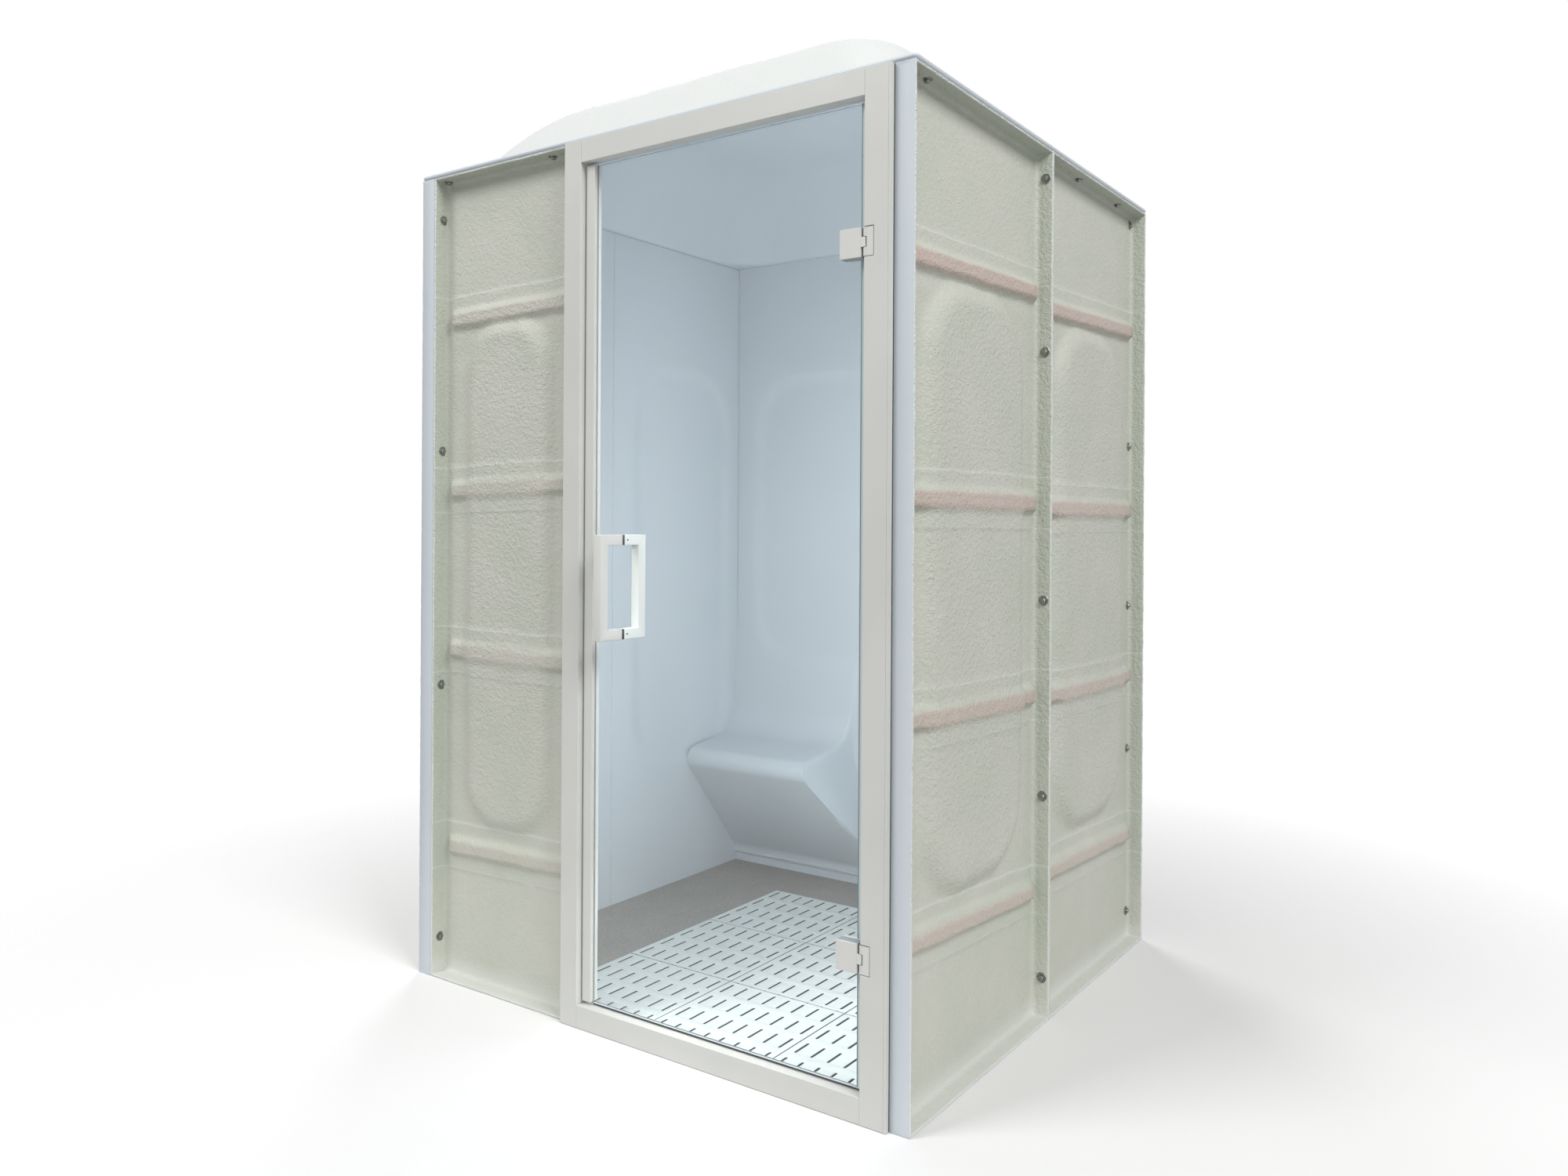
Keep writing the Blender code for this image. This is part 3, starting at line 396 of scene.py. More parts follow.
# %% [markdown]
# Ribs are lengths of core laid across the panel and covered with a strip of mat. By hand they never lie quite
# level, so each has a height and a lean. The grid leans with them, which keeps each rib's edges on grid
# lines. The strip of mat shows as a thin step some way above and below the rib. The bold value makes a tray's
# relief fainter: the narrow front panel is laid flatter than the sides.

# %% Fields and ribs
RELIEF, FIELD_SLOPE = 0.024, (-0.048, 0.003)
RIB_HALF, RIB_LIFT, RIB_FOLLOW, ROOT_FILLET = 0.0185, 0.019, 0.6, 0.0030
TAPE_HEM, TAPE_THICK, HEM_TINT = RIB_HALF + 0.043, 0.0014, 0.45
SHEET_WAVE, SHEET_RIPPLE, FIELD_WOBBLE = (0.0005, 0.16), (0.0003, 0.05), (0.002, 0.12)
RIB_WOBBLE, RIB_TOP_WAVE = (0.0016, 0.11), (0.0009, 0.07)


def rib_lines(levels):
    """Grid lines that follow the edges of the ribs and of the mat over them."""
    over = [0.0, 0.008] + [RIB_HALF + step for step in (-0.008, -0.004, 0.0, 0.004, 0.008, 0.012, 0.018)]
    under = [0.008] + [RIB_HALF + step for step in (-0.006, -0.002, 0.002, 0.006, 0.011, 0.017)]
    hem = [TAPE_HEM + step for step in (-0.005, -0.0025, 0.0, 0.0025)]
    offsets = over + hem + [-value for value in under + hem]
    return [level + step for level in levels for step in offsets]


def tray_outside(across, up, straight, field, ribs, seed, bold=1.0):
    """How far the outside of a tray stands out from its mould face, and the colour painted on it."""
    lift = SKIN + unevenness(across, up, *SHEET_WAVE, seed) + unevenness(across, up, *SHEET_RIPPLE, seed + 1)
    edge = arch_distance(across, up, *field) + unevenness(across, up, *FIELD_WOBBLE, seed + 2)
    raised = bold * RELIEF * (1 - ease(*FIELD_SLOPE, edge))
    lift = lift + raised
    paint = np.zeros(lift.shape + (4,))
    for number, (level, start, end, strength) in enumerate(ribs):
        wobble = unevenness(across, up * 0, *RIB_WOBBLE, seed + 10 + number)
        above, below = straight - level + wobble, level - straight + wobble
        off = np.maximum(above, below)
        along = ease(start - 0.006, start + 0.007, across) * (1 - ease(end - 0.007, end + 0.006, across))
        body = 1 - ease(RIB_HALF - 0.008, RIB_HALF + 0.012, above)
        body = body * (1 - ease(RIB_HALF - 0.006, RIB_HALF + 0.011, below))
        root = (1 - ease(RIB_HALF, RIB_HALF + 0.018, off)) * along
        reach = above if number == 0 else off
        tape = (1 - ease(TAPE_HEM - 0.0002, TAPE_HEM + 0.0024, reach)) * (1 - ease(0.060, 0.090, off))
        top = SKIN + bold * RIB_LIFT + RIB_FOLLOW * raised
        top = top + unevenness(across, up, *RIB_TOP_WAVE, seed + 30 + number)
        lift = lift + TAPE_THICK * tape + ROOT_FILLET * root * (1 - body)
        lift = lift + (np.maximum(top, lift) - lift) * body * along
        face = 1 - ease(RIB_HALF - 0.006, RIB_HALF + 0.001, above)
        hem = HEM_TINT * ease(TAPE_HEM - 0.004, TAPE_HEM - 0.001, reach) * tape
        pits = along * ease(0.012, 0.017, below) * (1 - ease(0.022, 0.030, below))
        for channel, mark in enumerate((strength * body * along * face, hem, pits)):
            paint[..., channel] = np.maximum(paint[..., channel], mark)
    return lift, paint


print("ribs are", round(2000 * RIB_HALF), "mm wide")

# %% Tray builder
WALL_TOP = 2.130
ROW_START, ROW_PITCH, ROW_LEAST = 0.03, 0.0145, 0.0022
GRID_EDGE, ROW_EDGE = 0.026, 0.022
MOULD_SLOPE, MOULD_RELIEF = (-0.048, 0.002), 0.010
# Painted shade on the flanges and in a band along their corners, with a greener resin tint on the flanges.
CORNER_SHADE_REACH, CORNER_SHADE_TINT, FLANGE_RESIN_SHADE_HOLD = 0.075, 0.55, (0.006, 0.012)
FOOT_TINT, PALE_FOOT, RESIN_SHADE_FOOT_FADE = 0.5, (0.02, 0.06), (0.02, 0.30)
TRIMMED_DEPTH, RIM_BAND = 0.0016, 0.0016
RAGGED_EDGE, RAGGED_FROM = (0.0007, 0.04), 0.03
SHEET_STEP = 1.37


def wall_rows(rows, least):
    """Grid lines up a wall, with the hold of its flanges."""
    rows = [row for row in rows if ROW_EDGE < row < WALL_TOP - ROW_EDGE]
    return flange_lines(WALL_TOP, thin_out(rows, least))


def flange_grids(across, up, width, hold_x, hold_z, field, paint):
    """Paints the flanges, and gives each point's way to the edge, its hold and the mould face's recess."""
    inset = np.minimum(np.minimum(across, width - across), np.minimum(up, WALL_TOP - up))
    hold = np.maximum(hold_x[None, :], hold_z[:, None])
    pale = np.maximum(hold > FLANGE - TRIMMED_DEPTH, FOOT_TINT * (1 - ease(*PALE_FOOT, up)))
    # Resin tint and painted shade on the flanges, and painted shade in a band in their corners.
    flange_shade_mask = np.maximum(ease(*FLANGE_RESIN_SHADE_HOLD, hold), CORNER_SHADE_TINT * (1 - ease(0.0, CORNER_SHADE_REACH, inset)))
    paint[..., 1] = np.maximum(paint[..., 1], pale)
    paint[..., 3] = flange_shade_mask * ease(*RESIN_SHADE_FOOT_FADE, up)
    return inset, hold, MOULD_RELIEF * (1 - ease(*MOULD_SLOPE, arch_distance(across, up, *field)))


def set_rim(grid, value):
    """Gives the outermost rows and columns of a grid one value."""
    grid[[0, -1], :] = value
    grid[:, [0, -1]] = value


def close_tray(name, node, seed, axes, across, up, lift, recess, paint):
    """Makes the skin between the outside and the mould face. Its rim is gelcoat too."""
    corner, run, out = (np.array(axis) for axis in axes)
    flat = corner + across[..., None] * run + up[..., None] * np.array((0, 0, 1))
    mould = np.zeros((across.shape[0] - 1, across.shape[1] - 1), bool)
    set_rim(mould, True)
    sheet = np.stack([across + seed * SHEET_STEP, up, lift], axis=-1)
    outer, inner = flat + lift[..., None] * out, flat + recess[..., None] * out
    mesh = skin_mesh(name, outer, inner, sheet, paint, mould)
    place_piece(name, mesh, (WALL_LAMINATE, GELCOAT), "cabin", [node])
    print(name, len(mesh.polygons), "faces")


def tray(node, axes, width, ribs, leans, field, seed, bold=1.0):
    """One wall tray. Its axes are its corner, the way it runs and the way its flanges point."""
    levels = [rib[0] for rib in ribs]
    rows = [*np.arange(ROW_START, WALL_TOP - ROW_START, ROW_PITCH), *rib_lines(levels)]
    z, hold_z = wall_rows(rows, ROW_LEAST)
    columns = round((width - 2 * GRID_EDGE) / ROW_PITCH) + 1
    x, hold_x = flange_lines(width, np.linspace(GRID_EDGE, width - GRID_EDGE, columns))
    across, straight = np.meshgrid(x, z)
    stops = [(0, 0), *sorted(zip(levels, leans)), (WALL_TOP, 0)]
    up = straight + np.interp(straight, *zip(*stops)) * (across / width - 0.5)
    lift, paint = tray_outside(across, up, straight, field, ribs, seed, bold)
    inset, hold, recess = flange_grids(across, up, width, hold_x, hold_z, field, paint)
    ragged = hold + unevenness(across, up, *RAGGED_EDGE, seed + 50)
    lift = np.where(hold > RAGGED_FROM, ragged, np.maximum(lift, hold))
    set_rim(lift, RIM_GROOVE)
    recess = np.maximum(recess, RIM_GROOVE * (1 - ease(0.0, RIM_BAND, inset)))
    close_tray(node + "_skin", node, seed, axes, across, up, lift, recess, paint)


print("walls are", WALL_TOP, "m high")

# %% [markdown]
# The five plain trays differ only in where they stand, how wide they are, and their ribs. A wall's places
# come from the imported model, so the skins stand exactly where the solids do. Each row of the table gives the
# heights of a tray's ribs, their leans, the gaps at their ends, and how much pink shows.

# %% Plain trays
FIELD_LOW, FIELD_HIGH = 0.400, 1.742
SIDE_LEFT, SIDE_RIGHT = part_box("left_front_panel")[1][0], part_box("right_front_panel")[0][0]
SIDE_FIELD, FRONT_FIELD = (0.092, 0.190), (0.080, 0.140)
SIDE_TRAYS = {
    "right_front_panel": ((1.770, 1.266, 0.805, 0.338), (0.028, 0.001, -0.018, -0.052), (0.028, 0.024), 0.95),
    "right_rear_panel": ((1.768, 1.257, 0.781, 0.328), (0.030, 0.002, -0.008, -0.032), (0.026, 0.030), 0.85),
    "left_front_panel": ((1.772, 1.262, 0.797, 0.330), (0.015, -0.008, 0.012, -0.010), (0.040, 0.024), 0.70),
    "left_rear_panel": ((1.765, 1.268, 0.788, 0.326), (-0.012, 0.010, -0.015, 0.018), (0.026, 0.030), 0.80),
}
PINK_FADE = 0.88
FRONT_BOLD = 0.75


def arch_field(width, margin, radius, low=FIELD_LOW):
    """Middle, half size and corner radius of an arch field."""
    return (width / 2, (low + FIELD_HIGH) / 2), (width / 2 - margin, (FIELD_HIGH - low) / 2), radius


def rib_set(levels, width, gap_start, gap_end, strength, fade=1.0):
    """Ribs with their ends held clear of the flanges. The lower they lie, the less pink shows through."""
    return [(level, gap_start, width - gap_end, strength * fade ** step) for step, level in enumerate(levels)]


for seed, (node, (levels, leans, gaps, strength)) in enumerate(SIDE_TRAYS.items(), 1):
    low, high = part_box(node)
    width = high[1] - low[1]
    right = low[0] > 0
    axes = ((SIDE_RIGHT if right else SIDE_LEFT, low[1], 0), (0, 1, 0), (1 if right else -1, 0, 0))
    ribs = rib_set(levels, width, *gaps, strength, PINK_FADE)
    tray(node, axes, width, ribs, leans, arch_field(width, *SIDE_FIELD), seed)

low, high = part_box("front_panel")
width = high[0] - low[0]
axes = ((high[0], high[1], 0), (-1, 0, 0), (0, -1, 0))
ribs = rib_set((1.757, 1.302, 0.868, 0.352), width, 0.026, 0.030, 0.24)
leans = (-0.013, -0.013, 0.010, -0.012)
tray("front_panel", axes, width, ribs, leans, arch_field(width, *FRONT_FIELD), 5, FRONT_BOLD)

# %% [markdown]
# ## Back trays with seats
# Seen from the side, the seat is one flowing line: down the backrest, round a wide fillet, out along a seat
# that falls slightly to the front, round the nose, and back under to a small toe. Because that line only ever
# falls, the seat too is a height field over the wall, which is how it comes out of its mould. Grid rows are
# set at the points of the line, and near the free end the grid columns lean along with the sloping end face.

# %% The seat's line
FILLET_RADIUS, FILLET_LEVEL, BACK_LEAN, BACK_TOP = 0.105, 0.575, 0.012, 0.950
NOSE_RADIUS, NOSE_REACH, NOSE_LEVEL = 0.040, 0.279, 0.410
TOE_REACH, TOE_TOP, TOE_BOTTOM = 0.012, 0.062, 0.040
HOLLOW_TOP = 0.600


def seat_line(depth, steps=22):
    """Height and reach down the seat, at a depth behind its surface."""
    fillet = (BACK_LEAN + FILLET_RADIUS, FILLET_LEVEL)
    nose = (NOSE_REACH - NOSE_RADIUS, NOSE_LEVEL)
    across, up = nose[0] - fillet[0], nose[1] - fillet[1]
    tilt = math.atan2(up, across) + math.asin((FILLET_RADIUS + NOSE_RADIUS) / math.hypot(across, up))
    across, up = nose[0] - TOE_REACH, nose[1] - TOE_TOP
    front = math.atan2(up, across) - math.asin(NOSE_RADIUS / math.hypot(across, up)) - math.pi / 2
    bend = np.linspace(math.pi, 1.5 * math.pi + tilt, steps)
    turn = np.linspace(math.pi / 2 + tilt, front, steps)
    outer, inner = FILLET_RADIUS + depth, NOSE_RADIUS - depth
    reach = np.concatenate([fillet[0] + outer * np.cos(bend), nose[0] + inner * np.cos(turn),
                            [TOE_REACH - depth * math.cos(front)]])
    level = np.concatenate([fillet[1] + outer * np.sin(bend), nose[1] + inner * np.sin(turn),
                            [TOE_TOP - depth * math.sin(front)]])
    return level, reach


def seat_table(depth):
    """The seat's line as rising heights with their reach, for interpolation."""
    level, reach = seat_line(depth)
    if depth:
        level = np.concatenate([[HOLLOW_TOP + 0.02, HOLLOW_TOP], level, [level[-1] - 0.012]])
        reach = np.concatenate([[-depth, reach[0]], reach, [-depth]])
    else:
        level = np.concatenate([[BACK_TOP], level, [TOE_BOTTOM, TOE_BOTTOM - 0.002]])
        reach = np.concatenate([[0], reach, [TOE_REACH, 0]])
    order = np.argsort(level, kind="stable")
    return level[order], reach[order]


SEAT_FRONT, SEAT_BEHIND = seat_table(0.0), seat_table(SKIN)
print("seat reaches", round(float(SEAT_FRONT[1].max()), 3), "m from the wall")

# %% Back trays
SEAT_CLEAR = 0.0003
SEAT_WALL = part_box("floor_tray")[1][1] + SEAT_CLEAR
END_GAPS = ((0.0, TOE_BOTTOM, NOSE_LEVEL - NOSE_RADIUS, NOSE_LEVEL + NOSE_RADIUS, WALL_TOP),
            (0.032, 0.032, 0.1927, 0.2147, 0.060))
END_ROUND = 0.020
BACK_RIBS, BACK_GAPS, BACK_PINK = (1.800, 1.266), (0.030, 0.026), 0.8
BACK_FIELD, BACK_FIELD_LOW = (0.072, 0.190), 0.720
HELD_OUT, SUNK_IN = 0.0067, -0.001
BACK_ROWS = ((0.03, 0.38, 0.016), (0.58, 0.70, 0.012), (0.70, WALL_TOP - ROW_START, ROW_PITCH))
SEAT_SHARES = np.concatenate([np.linspace(0.0, 0.955, 34), [0.968, 0.979, 0.988, 0.995]])
PAST_SHARES = np.linspace(0.02, 1.0, 20)
SEAT_ROW_LEAST = 0.0012


def seat_grid(width):
    """Grid points of a back tray, with the flanges' hold and where the seat ends on each row."""
    rows = [*SEAT_FRONT[0], *rib_lines(BACK_RIBS)]
    for span in BACK_ROWS:
        rows += list(np.arange(*span))
    z, hold_z = wall_rows(rows, SEAT_ROW_LEAST)
    inner = np.linspace(GRID_EDGE, width - GRID_EDGE, len(SEAT_SHARES) + len(PAST_SHARES) + 1)
    x, hold_x = flange_lines(width, inner)
    across, up = np.meshgrid(x, z)
    end = width - np.interp(z, *END_GAPS)[:, None]
    edge = len(FLANGE_PROFILE)
    across[:, edge:-edge] = np.hstack([GRID_EDGE + (end - GRID_EDGE) * SEAT_SHARES, end,
                                       end + (width - GRID_EDGE - end) * PAST_SHARES])
    return across, up, hold_x, hold_z, end


def seat_tray(node, seed):
    """A back tray, with the seat growing out of it. Its grid runs from the side wall to the middle seam."""
    low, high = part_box(node)
    width = high[0] - low[0]
    left = "left" in node
    axes = ((low[0] if left else high[0], SEAT_WALL, 0), (1 if left else -1, 0, 0), (0, 1, 0))
    across, up, hold_x, hold_z, end = seat_grid(width)
    field = arch_field(width, *BACK_FIELD, BACK_FIELD_LOW)
    ribs = rib_set(BACK_RIBS, width, *BACK_GAPS, BACK_PINK)
    lift, paint = tray_outside(across, up, up, field, ribs, seed)
    _, hold, recess = flange_grids(across, up, width, hold_x, hold_z, field, paint)
    share = ease(0.0, END_ROUND, end - across)
    behind = np.interp(up, *SEAT_BEHIND)
    hollow = behind > -SKIN
    lift = lift * (1 - share * hollow) - np.where(hollow, behind, 0) * share
    lift = np.where(hold > HELD_OUT, np.maximum(hold, lift), lift)
    recess = recess - np.interp(up, *SEAT_FRONT) * share
    set_rim(lift, RIM_GROOVE)
    recess[[0, -1], :] = RIM_GROOVE
    recess[:, :2] = np.where(recess[:, :2] > SUNK_IN, RIM_GROOVE, recess[:, :2])
    recess[:, -2:] = RIM_GROOVE
    lift[:, 0] = recess[:, 0]
    close_tray(node + "_skin", node, seed, axes, across, up, lift, recess, paint)


seat_tray("back_left_seat_panel", 6)
seat_tray("back_right_seat_panel", 7)

# %% [markdown]
# ## Domed roof
# The roof is a tray too: a flat rim that is bolted down on the wall flanges, with a rounded lip, and a low
# dome that lets drops of water run down to the walls. It is lofted from rings: each ring is a rectangle with
# round corners, and its inset, height and corner radius change from the lip to the crown.

# %% Rings of the roof
ROOF_LOW, ROOF_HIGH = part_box("roof_dome")
RIM_THICK = 0.012
DOME_INSET, DOME_RUN, DOME_CORNER = 0.062, 0.300, 0.150
DOME_RISE = ROOF_HIGH[2] - ROOF_LOW[2] - RIM_THICK
RING_CORNER_STEPS, RING_SIDE_STEPS = 11, 20
UNDER_RINGS, LIP_RINGS, OVER_RINGS = 16, 9, 22
RIM_RINGS, RIM_TOP_RINGS = ((0.045, 0.11), (0.025, 0.05), (0.006, 0.012)), ((0.014, 0.02), (0.030, 0.06))
LIP_CORNER, CROWN_TIGHTER = 0.010, 0.35


def corner_arcs(half_x, half_y, radius, steps):
    """Points along the four round corners of a rectangle."""
    arcs = []
    for quarter, (sign_x, sign_y) in enumerate(((1, 1), (-1, 1), (-1, -1), (1, -1))):
        middle = np.array((sign_x * (half_x - radius), sign_y * (half_y - radius)))
        angles = np.linspace(quarter, quarter + 1, steps + 1) * math.pi / 2
        arcs.append(middle + radius * np.stack([np.cos(angles), np.sin(angles)], axis=-1))
    return arcs


def ring_points(inset, level, radius):
    """Points round a rectangle with round corners, evenly counted on every ring."""
    arcs = corner_arcs(ROOF_HIGH[0] - inset, ROOF_HIGH[1] - inset, radius, RING_CORNER_STEPS)
    shares = np.linspace(0, 1, RING_SIDE_STEPS + 2)[1:-1, None]
    full = []
    for arc, following in zip(arcs, arcs[1:] + arcs[:1]):
        full += [arc, arc[-1] + (following[0] - arc[-1]) * shares]
    flat = np.concatenate(full)
    return np.column_stack([flat, np.full(len(flat), level)])


def dome_ring(share, depth):
    """Inset, height and corner radius on the dome, at a depth under its surface."""
    level = ROOF_LOW[2] + RIM_THICK - depth + DOME_RISE * (1 - (1 - share) ** 2)
    return DOME_INSET + depth + DOME_RUN * share, level, DOME_CORNER * (1 - CROWN_TIGHTER * share)


def roof_rings():
    """Rings from the crown's underside, out to the lip and up to the crown."""
    under, over, lip = ROOF_LOW[2], ROOF_LOW[2] + RIM_THICK, RIM_THICK / 2
    rings = [dome_ring(share, SKIN) for share in np.linspace(1, 0, UNDER_RINGS)]
    rings.append((DOME_INSET + SKIN - 0.004, under + 0.0005, DOME_CORNER))
    rings += [(inset, under, radius) for inset, radius in RIM_RINGS]
    for angle in np.linspace(-math.pi / 2, math.pi / 2, LIP_RINGS):
        rings.append((lip - lip * math.cos(angle), under + lip + lip * math.sin(angle), LIP_CORNER))
    rings += [(inset, over, radius) for inset, radius in RIM_TOP_RINGS]
    rings.append((DOME_INSET - 0.010, over + 0.0012, DOME_CORNER))
    rings += [dome_ring(share, 0.0) for share in np.linspace(0.015, 1, OVER_RINGS)]
    return rings


print("dome rises", round(DOME_RISE, 3), "m")

# %% Roof
ROOF_WAVE, ROOF_SEED = (0.0016, 0.35), 61
CROWN_STILL = 0.002


def build_roof():
    """One closed skin from the rings, capped at both crowns. The underside and the lip are gelcoat."""
    rings = roof_rings()
    points = np.array([ring_points(*ring) for ring in rings])
    wave = unevenness(points[..., 0], points[..., 1], *ROOF_WAVE, ROOF_SEED)
    top = np.arange(len(rings)) > len(rings) - OVER_RINGS
    points[..., 2] += wave * top[:, None] * (points[..., 2] < ROOF_HIGH[2] - CROWN_STILL)
    count = points.shape[1]
    verts = points.reshape(-1, 3)
    faces = []
    for base in range(0, len(verts) - count, count):
        for step in range(count):
            after = (step + 1) % count
            faces.append((base + step, base + after, base + count + after, base + count + step))
    smooth = (UNDER_RINGS + len(RIM_RINGS) + LIP_RINGS) * count
    gel = [number < smooth for number in range(len(faces))] + [True, False]
    faces += [tuple(range(count))[::-1], tuple(range(len(verts) - count, len(verts)))]
    mesh = bpy.data.meshes.new("roof_skin")
    mesh.from_pydata(verts.tolist(), [], faces)
    mesh.polygons.foreach_set("material_index", np.array(gel, np.int32))
    spots = mesh.attributes.new("sheet", "FLOAT_VECTOR", "POINT")
    spots.data.foreach_set("vector", verts.astype(np.float32).reshape(-1))
    mesh.attributes.new("paint", "FLOAT_COLOR", "POINT")
    mesh.shade_smooth()
    return place_piece("roof_skin", mesh, (ROOF_LAMINATE_SHADED, GELCOAT), "cabin", ["roof_dome"])


roof = build_roof()
print("roof", len(roof.data.polygons), "faces")

# %% [markdown]
# ## Enamel and steel
# The door frame, hinges and handles are metal under baked enamel. Enamel has a fine orange-peel ripple and
# is a little duller where hands and cleaning cloths have been. The bolts are zinc plated, which is a soft
# grey metal with faint cloudy crystals.

# %% Enamel, steel, rubber and plastic
TONE_EDGE = 0.0001


def enamel(name, base, worn, roughness):
    """Baked paint with orange peel."""
    material, tree, shader = start_finish(name, base, roughness)
    place = metres(tree)
    two_tones(tree, shader, grain(tree, place, 4.0, 4.0), 0.35, 0.7, base, worn)
    gloss(tree, shader, grain(tree, place, 24.0, 3.0), roughness - 0.06, roughness + 0.10)
    raise_surface(tree, shader, grain(tree, place, 420.0, 1.0), 0.00004)
    return material


def plated_steel(name, base, dark):
    """Zinc plating."""
    material, tree, shader = start_finish(name, base, 0.38, 1.0)
    place = metres(tree)
    cloud = grain(tree, place, 260.0, 3.0)
    two_tones(tree, shader, cloud, 0.35, 0.65, base, dark)
    gloss(tree, shader, cloud, 0.28, 0.52)
    raise_surface(tree, shader, grain(tree, place, 900.0, 1.0), 0.00005)
    return material


def moulded(name, base, other, roughness, scale, depth):
    """Moulded rubber or plastic with a fine grain."""
    material, tree, shader = start_finish(name, base, roughness)
    fine = grain(tree, metres(tree), scale, 3.0)
    two_tones(tree, shader, fine, *MID_NOISE, base, other)
    gloss(tree, shader, fine, roughness - 0.08, roughness + 0.08)
    raise_surface(tree, shader, fine, depth)
    return material


def split_tone(material, axis, level, colour):
    """Lays a second colour over a finish, above a level on an axis."""
    tree = material.node_tree
    shader = tree.nodes["Principled BSDF"]
    place = add_node(tree, "ShaderNodeSeparateXYZ", {0: metres(tree)}).outputs[axis]
    first = shader.inputs["Base Color"].links[0].from_socket
    share = spread(tree, place, level - TONE_EDGE, level + TONE_EDGE)
    tree.links.new(blend_colour(tree, share, first, colour), shader.inputs["Base Color"])
    return material


FRAME_ENAMEL = enamel("frame_enamel", on_screen(212, 213, 209), on_screen(206, 207, 202), 0.42)
FITTING_ENAMEL = enamel("fitting_enamel", on_screen(223, 224, 221), on_screen(218, 218, 214), 0.42)
ZINC = plated_steel("zinc_plate", on_screen(168, 168, 164), on_screen(122, 122, 118))
RUBBER = moulded("dark_rubber", on_screen(34, 34, 36), on_screen(26, 26, 28), 0.62, 300.0, 0.0002)
MAT_WHITE = moulded("mat_plastic", on_screen(211, 216, 214), on_screen(205, 211, 209), 0.42, 180.0, 0.0002)
print("enamels, zinc, rubber and mat plastic ready")

# %% [markdown]
# ## Door frame
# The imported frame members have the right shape, so they stay. A painted extrusion has no razor edges, though:
# light catches a small radius along every arris. A Weld modifier joins the split corners of the imported mesh
# and a Bevel modifier rolls the sharp edges, without touching the mesh itself. Each hinge leaf is a white
# plate on a grey spacer, and the leaf in the stile is shrunk by a hair, so that a dark line shows round it in
# its pocket.

# %% Frame members
SHARP_EDGE = math.radians(40)
NODE_WELD = 0.00001
HINGE_WHITE = (on_screen(218, 218, 214), on_screen(213, 213, 208), 0.55)
HINGE_PLATE, SHADOW_GAP = 0.0042, 0.0014


def soften(node, width, finish, segments=3):
    """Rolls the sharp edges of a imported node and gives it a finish."""
    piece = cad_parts[node]
    weld = piece.modifiers.new("weld", "WELD")
    weld.merge_threshold = NODE_WELD
    if width:
        bevel = piece.modifiers.new("rolled_edges", "BEVEL")
        bevel.width = width
        bevel.segments = segments
        bevel.limit_method = "ANGLE"
        bevel.angle_limit = SHARP_EDGE
        bevel.harden_normals = True
    if not piece.material_slots:
        piece.data.materials.append(finish)
    for slot in piece.material_slots:
        slot.material = finish
    return piece


HINGE_ENAMEL = enamel("hinge_enamel", *HINGE_WHITE)
LEAF_ENAMEL = enamel("hinge_leaf_enamel", *HINGE_WHITE)
split_tone(LEAF_ENAMEL, "Y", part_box("upper_hinge_glass_leaf")[0][1] + HINGE_PLATE, on_screen(160, 170, 174))
for node in ("frame_lock_stile", "frame_hinge_stile", "frame_head", "frame_sill"):
    soften(node, 0.0012, FRAME_ENAMEL)
soften("door_edge_profile", 0.0016, FRAME_ENAMEL)
for side in ("upper", "lower"):
    leaf = soften(side + "_hinge_frame_leaf", 0.0005, HINGE_ENAMEL, 2)
    shadow_gap = leaf.modifiers.new("shadow_gap", "DISPLACE")
    shadow_gap.strength = -SHADOW_GAP
    shadow_gap.mid_level = 0.0
    leaf.modifiers.move(2, 1)
    soften(side + "_hinge_glass_leaf", 0.0010, LEAF_ENAMEL)
    soften(side + "_hinge_inner_plate", 0.0012, FITTING_ENAMEL)
    soften(side + "_hinge_pin", 0.0, ZINC)
print("rolled the edges of the frame and the hinges")

# %% [markdown]
# A narrow trim closes the gap between the hinge stile and the corner of the cabin. Its front lies flush with
# the stile, and it is thinner behind. A profile like that is drawn once in plan and pulled up to its length.

# %% Filler trim
PROFILE_EDGE = 0.0003
TRIM_FACE, TRIM_SLOPE, TRIM_WEB, TRIM_SET_BACK = 0.010, 0.0115, 0.0040, 0.0004


def pull_outline(work, points, along):
    """A solid from the points of a flat outline, pulled along a vector."""
    face = work.faces.new([work.verts.new(point) for point in points])
    grown = bmesh.ops.extrude_face_region(work, geom=[face])["geom"]
    corners = [part for part in grown if isinstance(part, bmesh.types.BMVert)]
    bmesh.ops.translate(work, verts=corners, vec=along)


def pulled_profile(name, outline, spans):
    """A profile drawn in plan, pulled up over one or more spans of height."""
    work = bmesh.new()
    for bottom, top in spans:
        pull_outline(work, [(x, y, bottom) for x, y in outline], (0, 0, top - bottom))
    bmesh.ops.recalc_face_normals(work, faces=work.faces)
    bmesh.ops.bevel(work, geom=work.edges[:], offset=PROFILE_EDGE, segments=2, affect="EDGES")
    mesh = bpy.data.meshes.new(name)
    work.to_mesh(mesh)
    work.free()
    return mesh


low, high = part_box("frame_filler_strip")
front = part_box("frame_hinge_stile")[0][1] + TRIM_SET_BACK
web = low[0] + TRIM_WEB
trim = [(low[0], front), (high[0], front), (high[0], front + TRIM_FACE), (web, front + TRIM_SLOPE),
        (web, high[1]), (low[0], high[1])]
place_piece("frame_filler_trim", pulled_profile("frame_filler_trim", trim, [(low[2], high[2])]),
            (FRAME_ENAMEL,), "cabin", ["frame_filler_strip"])
print("trim front at", round(front, 4), "and the packed strip's at", round(low[1], 4))

